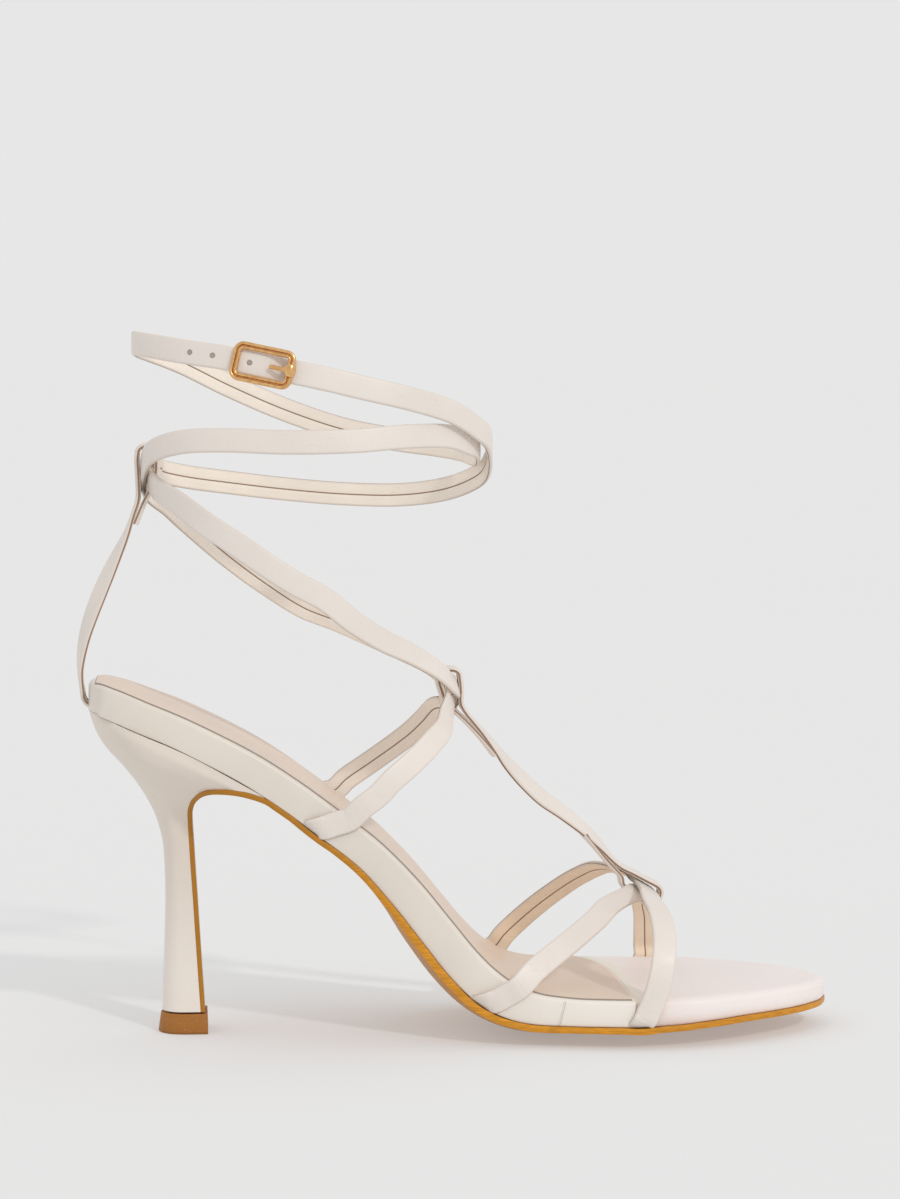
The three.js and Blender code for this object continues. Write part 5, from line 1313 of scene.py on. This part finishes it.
def rounded_track(length, width, radius, count):
    """Round corners joined by straights, with the way out at each point: a rounded box."""
    turn = (np.arange(count) + 0.5) / count * 2 * math.pi
    out = np.stack([np.cos(turn), np.sin(turn)], -1)
    half = np.array([length, width]) / 2 - radius
    return np.sign(out) * half + out * radius, out


# The buckle in millimetres: radius of the frame's outer corners, points round it, height
# over the strap's middle, and reach and height of the prong.
BUCKLE_CORNER = 2.9
BUCKLE_POINTS = 160
BUCKLE_LIFT = 0.65
PRONG_REACH = 6.2
PRONG_HEIGHT = 2.55

# Section of the buckle's bar: inward from its outer edge, and up, with a groove between
# its two ridges. The table is of a bar as wide as BAR_WIDTH.
BAR_WIDTH = 1.8
BAR_SECTION = [
    (0, 0.15), (0, 1), (-0.06, 1.25), (-0.2, 1.42), (-0.42, 1.5), (-0.64, 1.42), (-0.78, 1.22),
    (-0.84, 0.92), (-0.9, 0.8), (-1, 0.8), (-1.06, 0.92), (-1.1, 1.15), (-1.2, 1.34), (-1.4, 1.42),
    (-1.6, 1.34), (-1.75, 1.15), (-1.8, 0.9), (-1.8, 0.14), (-1.7, 0.02), (-1.5, 0), (-0.3, 0),
    (-0.1, 0.02),
]


class SANDAL_OT_buckle(bpy.types.Operator):
    """Builds the stepped frame of the buckle and its short prong"""

    bl_idname = "sandal.buckle"
    bl_label = "Buckle"

    def execute(self, context):
        sizes, colours = chosen(context)
        centre, axes = buckle_place()
        bar = sizes.buckle_bar / MM
        half_length = sizes.buckle_length / MM / 2
        width = sizes.buckle_width / MM
        track, out = rounded_track(2 * half_length, width, BUCKLE_CORNER, BUCKLE_POINTS)
        profile = np.array(BAR_SECTION) * [bar / BAR_WIDTH, 1.0]
        inward, up = profile.T
        hollow = (up < 1.0) & (inward < -0.8) & (inward > -1.08)
        flat = track[:, None] + out[:, None] * profile[None, :, :1]
        height = np.broadcast_to(profile[None, :, 1:], (*flat.shape[:2], 1)) + BUCKLE_LIFT
        placed = centre + np.concatenate([flat, height], -1) @ axes
        values = {"hollow": np.tile(hollow, len(track))}
        piece = grid_mesh("buckle_bars", placed, values=values, sharp=42.0, ring=True)
        metal = plated_metal(colours.metal)
        hand_over(piece, "gold_metal", "buckle_frame", metal)
        hinge = half_length - bar / 2
        bend = np.linspace(-0.75 * math.pi, 0.5 * math.pi, 22)
        wrap = np.stack([hinge + 1.2 * np.cos(bend), 0 * bend, 1.4 + 1.15 * np.sin(bend)], -1)
        run = np.linspace(0, 1, 26)[1:, None]
        fall = PRONG_HEIGHT - 0.75 * run**0.8
        reach = np.concatenate([hinge - run * PRONG_REACH, 0 * run, fall], 1)
        path = np.concatenate([wrap, reach])
        up = np.cross(unit(np.gradient(path, axis=0)), SIDEWAYS)
        turn = np.linspace(0, 2 * math.pi, 20, endpoint=False)
        share = np.linspace(0, 1, len(path))
        point = np.clip((share - 0.93) / 0.07, 0, 1)
        wide = 0.62 * np.sqrt(np.clip(1 - point**2, 0.01, 1)) + 1.25 * (1 - ease(0.5, 0.62, share))
        thin = np.minimum(wide, 0.5)
        across = (wide[:, None] * np.cos(turn))[..., None] * SIDEWAYS
        tube = path[:, None] + across + up[:, None] * (thin[:, None] * np.sin(turn))[..., None]
        prong = grid_mesh("buckle_pin", centre + tube @ axes)
        hand_over(prong, "gold_metal", "buckle_prong", metal)
        return {"FINISHED"}


def plated_metal(colour):
    """Brushed plated metal: fine lines, small dents of tone and darker hollows."""
    f = Finish("Plated metal", colour, Roughness=0.24, Metallic=1.0)
    scuff = f.effect("Handling marks", 1.0)["Scuff"]
    brushed = f.noise("Brushing", f.drawn(f.place, (0.6, 6.0, 6.0)), 1.0, 3.0)
    tarnish = f.ranged(f.noise("Tarnish", f.place, 0.8, 4.0), 0.35, 0.7)
    f.base = f.mixed(tarnish, rgba(colour), rgba(colour, 0.85, 1, 0.85, 0.65))
    f.tint(f.painted("hollow"), 0.9, 1, 0.5, 0.3, 0.12)
    height = f.relief((brushed, 0.5), (scuff, -0.6))
    return f.done(f.scaled(brushed, 0.16, 0.16), height, 0.03)


class SANDAL_OT_stage(bpy.types.Operator):
    """Builds the floor, the even room light, the soft sun and the camera"""

    bl_idname = "sandal.stage"
    bl_label = "Stage"

    def execute(self, context):
        colours = chosen(context)[1]
        scene = context.scene
        radius = np.array([0.001, 0.2, 0.6, 1.5, 4.0, 12.0, 40.0])[:, None] / MM
        turn = np.linspace(0, 2 * math.pi, 96, endpoint=False)
        disc = np.broadcast_arrays(radius * np.cos(turn), radius * np.sin(turn), 0.0)
        disc = np.stack(disc, -1)
        floor = grid_mesh("studio_floor", np.concatenate([disc, disc[::-1] - [0, 0, 20.0]]))
        f = Finish("Floor", (colours.floor,) * 3, Roughness=0.9, Specular_IOR_Level=0.0)
        f.start(f.noise("Faint tone", f.place, 0.004, 2.0), 0.995, 1.005)
        f.shader.inputs["Emission Color"].default_value = (1.0, 1.0, 1.0, 1.0)
        f.shader.inputs["Emission Strength"].default_value = colours.floor_glow
        floor.data.materials.append(f.done())
        world = bpy.data.worlds.new("Studio")
        world.use_nodes = True
        world.node_tree.nodes["Background"].inputs[0].default_value = rgba(colours.room)
        scene.world = world
        sun = bpy.data.lights.new("soft_key", "SUN")
        sun.energy = 0.78
        sun.angle = math.radians(4)
        sun.color = (1.0, 0.985, 0.965)
        scene.collection.objects.link(aimed("soft_key", sun, SUN_WAY))
        scene.view_settings.view_transform = "Standard"
        camera = aimed("camera", bpy.data.cameras.new("camera"), CAMERA_WAY)
        camera.location = CAMERA_PLACE
        camera.data.sensor_fit = "VERTICAL"
        camera.data.sensor_height = 36.0
        camera.data.lens = FOCAL_SHARE * camera.data.sensor_height
        camera.data.clip_start = 0.05
        camera.data.clip_end = 200.0
        scene.collection.objects.link(camera)
        scene.camera = camera
        return {"FINISHED"}


def aimed(name, data, way):
    """A light or camera that looks a given way."""
    made = bpy.data.objects.new(name, data)
    made.rotation_euler = Vector(way).to_track_quat("-Z", "Y").to_euler()
    return made


class SANDAL_PT_panel(bpy.types.Panel):
    """Lists the pieces of the sandal in the sidebar"""

    bl_idname = "SANDAL_PT_panel"
    bl_label = "Ankle strap sandal"
    bl_space_type = "VIEW_3D"
    bl_region_type = "UI"
    bl_category = "Sandal"

    def draw(self, context):
        column = self.layout.column(align=True)
        for operator in OPERATORS:
            column.operator(operator.bl_idname)
        for group in chosen(context):
            box = self.layout.box()
            for key in group.bl_rna.properties.keys():
                if key not in ("name", "rna_type"):
                    box.prop(group, key)


OPERATORS = (
    SANDAL_OT_stage,
    SANDAL_OT_footbed,
    SANDAL_OT_toe_bed,
    SANDAL_OT_sock,
    SANDAL_OT_heel,
    SANDAL_OT_outsole,
    SANDAL_OT_ankle_straps,
    SANDAL_OT_toe_straps,
    SANDAL_OT_middle_straps,
    SANDAL_OT_buckle,
)
CLASSES = (SandalSizes, SandalColours, *OPERATORS, SANDAL_PT_panel)


def register():
    """Registers the classes and puts the sizes and colours on the scene."""
    for item in CLASSES:
        bpy.utils.register_class(item)
    bpy.types.Scene.sandal_sizes = bpy.props.PointerProperty(type=SandalSizes)
    bpy.types.Scene.sandal_colours = bpy.props.PointerProperty(type=SandalColours)


def unregister():
    """Takes the sizes, the colours and the classes away again."""
    del bpy.types.Scene.sandal_colours
    del bpy.types.Scene.sandal_sizes
    for item in reversed(CLASSES):
        bpy.utils.unregister_class(item)


def main():
    register()
    bpy.ops.sandal.stage()
    bpy.ops.sandal.footbed()
    bpy.ops.sandal.toe_bed()
    bpy.ops.sandal.sock()
    bpy.ops.sandal.heel()
    bpy.ops.sandal.outsole()
    bpy.ops.sandal.ankle_straps()
    bpy.ops.sandal.toe_straps()
    bpy.ops.sandal.middle_straps()
    bpy.ops.sandal.buckle()


if __name__ == "__main__":
    main()
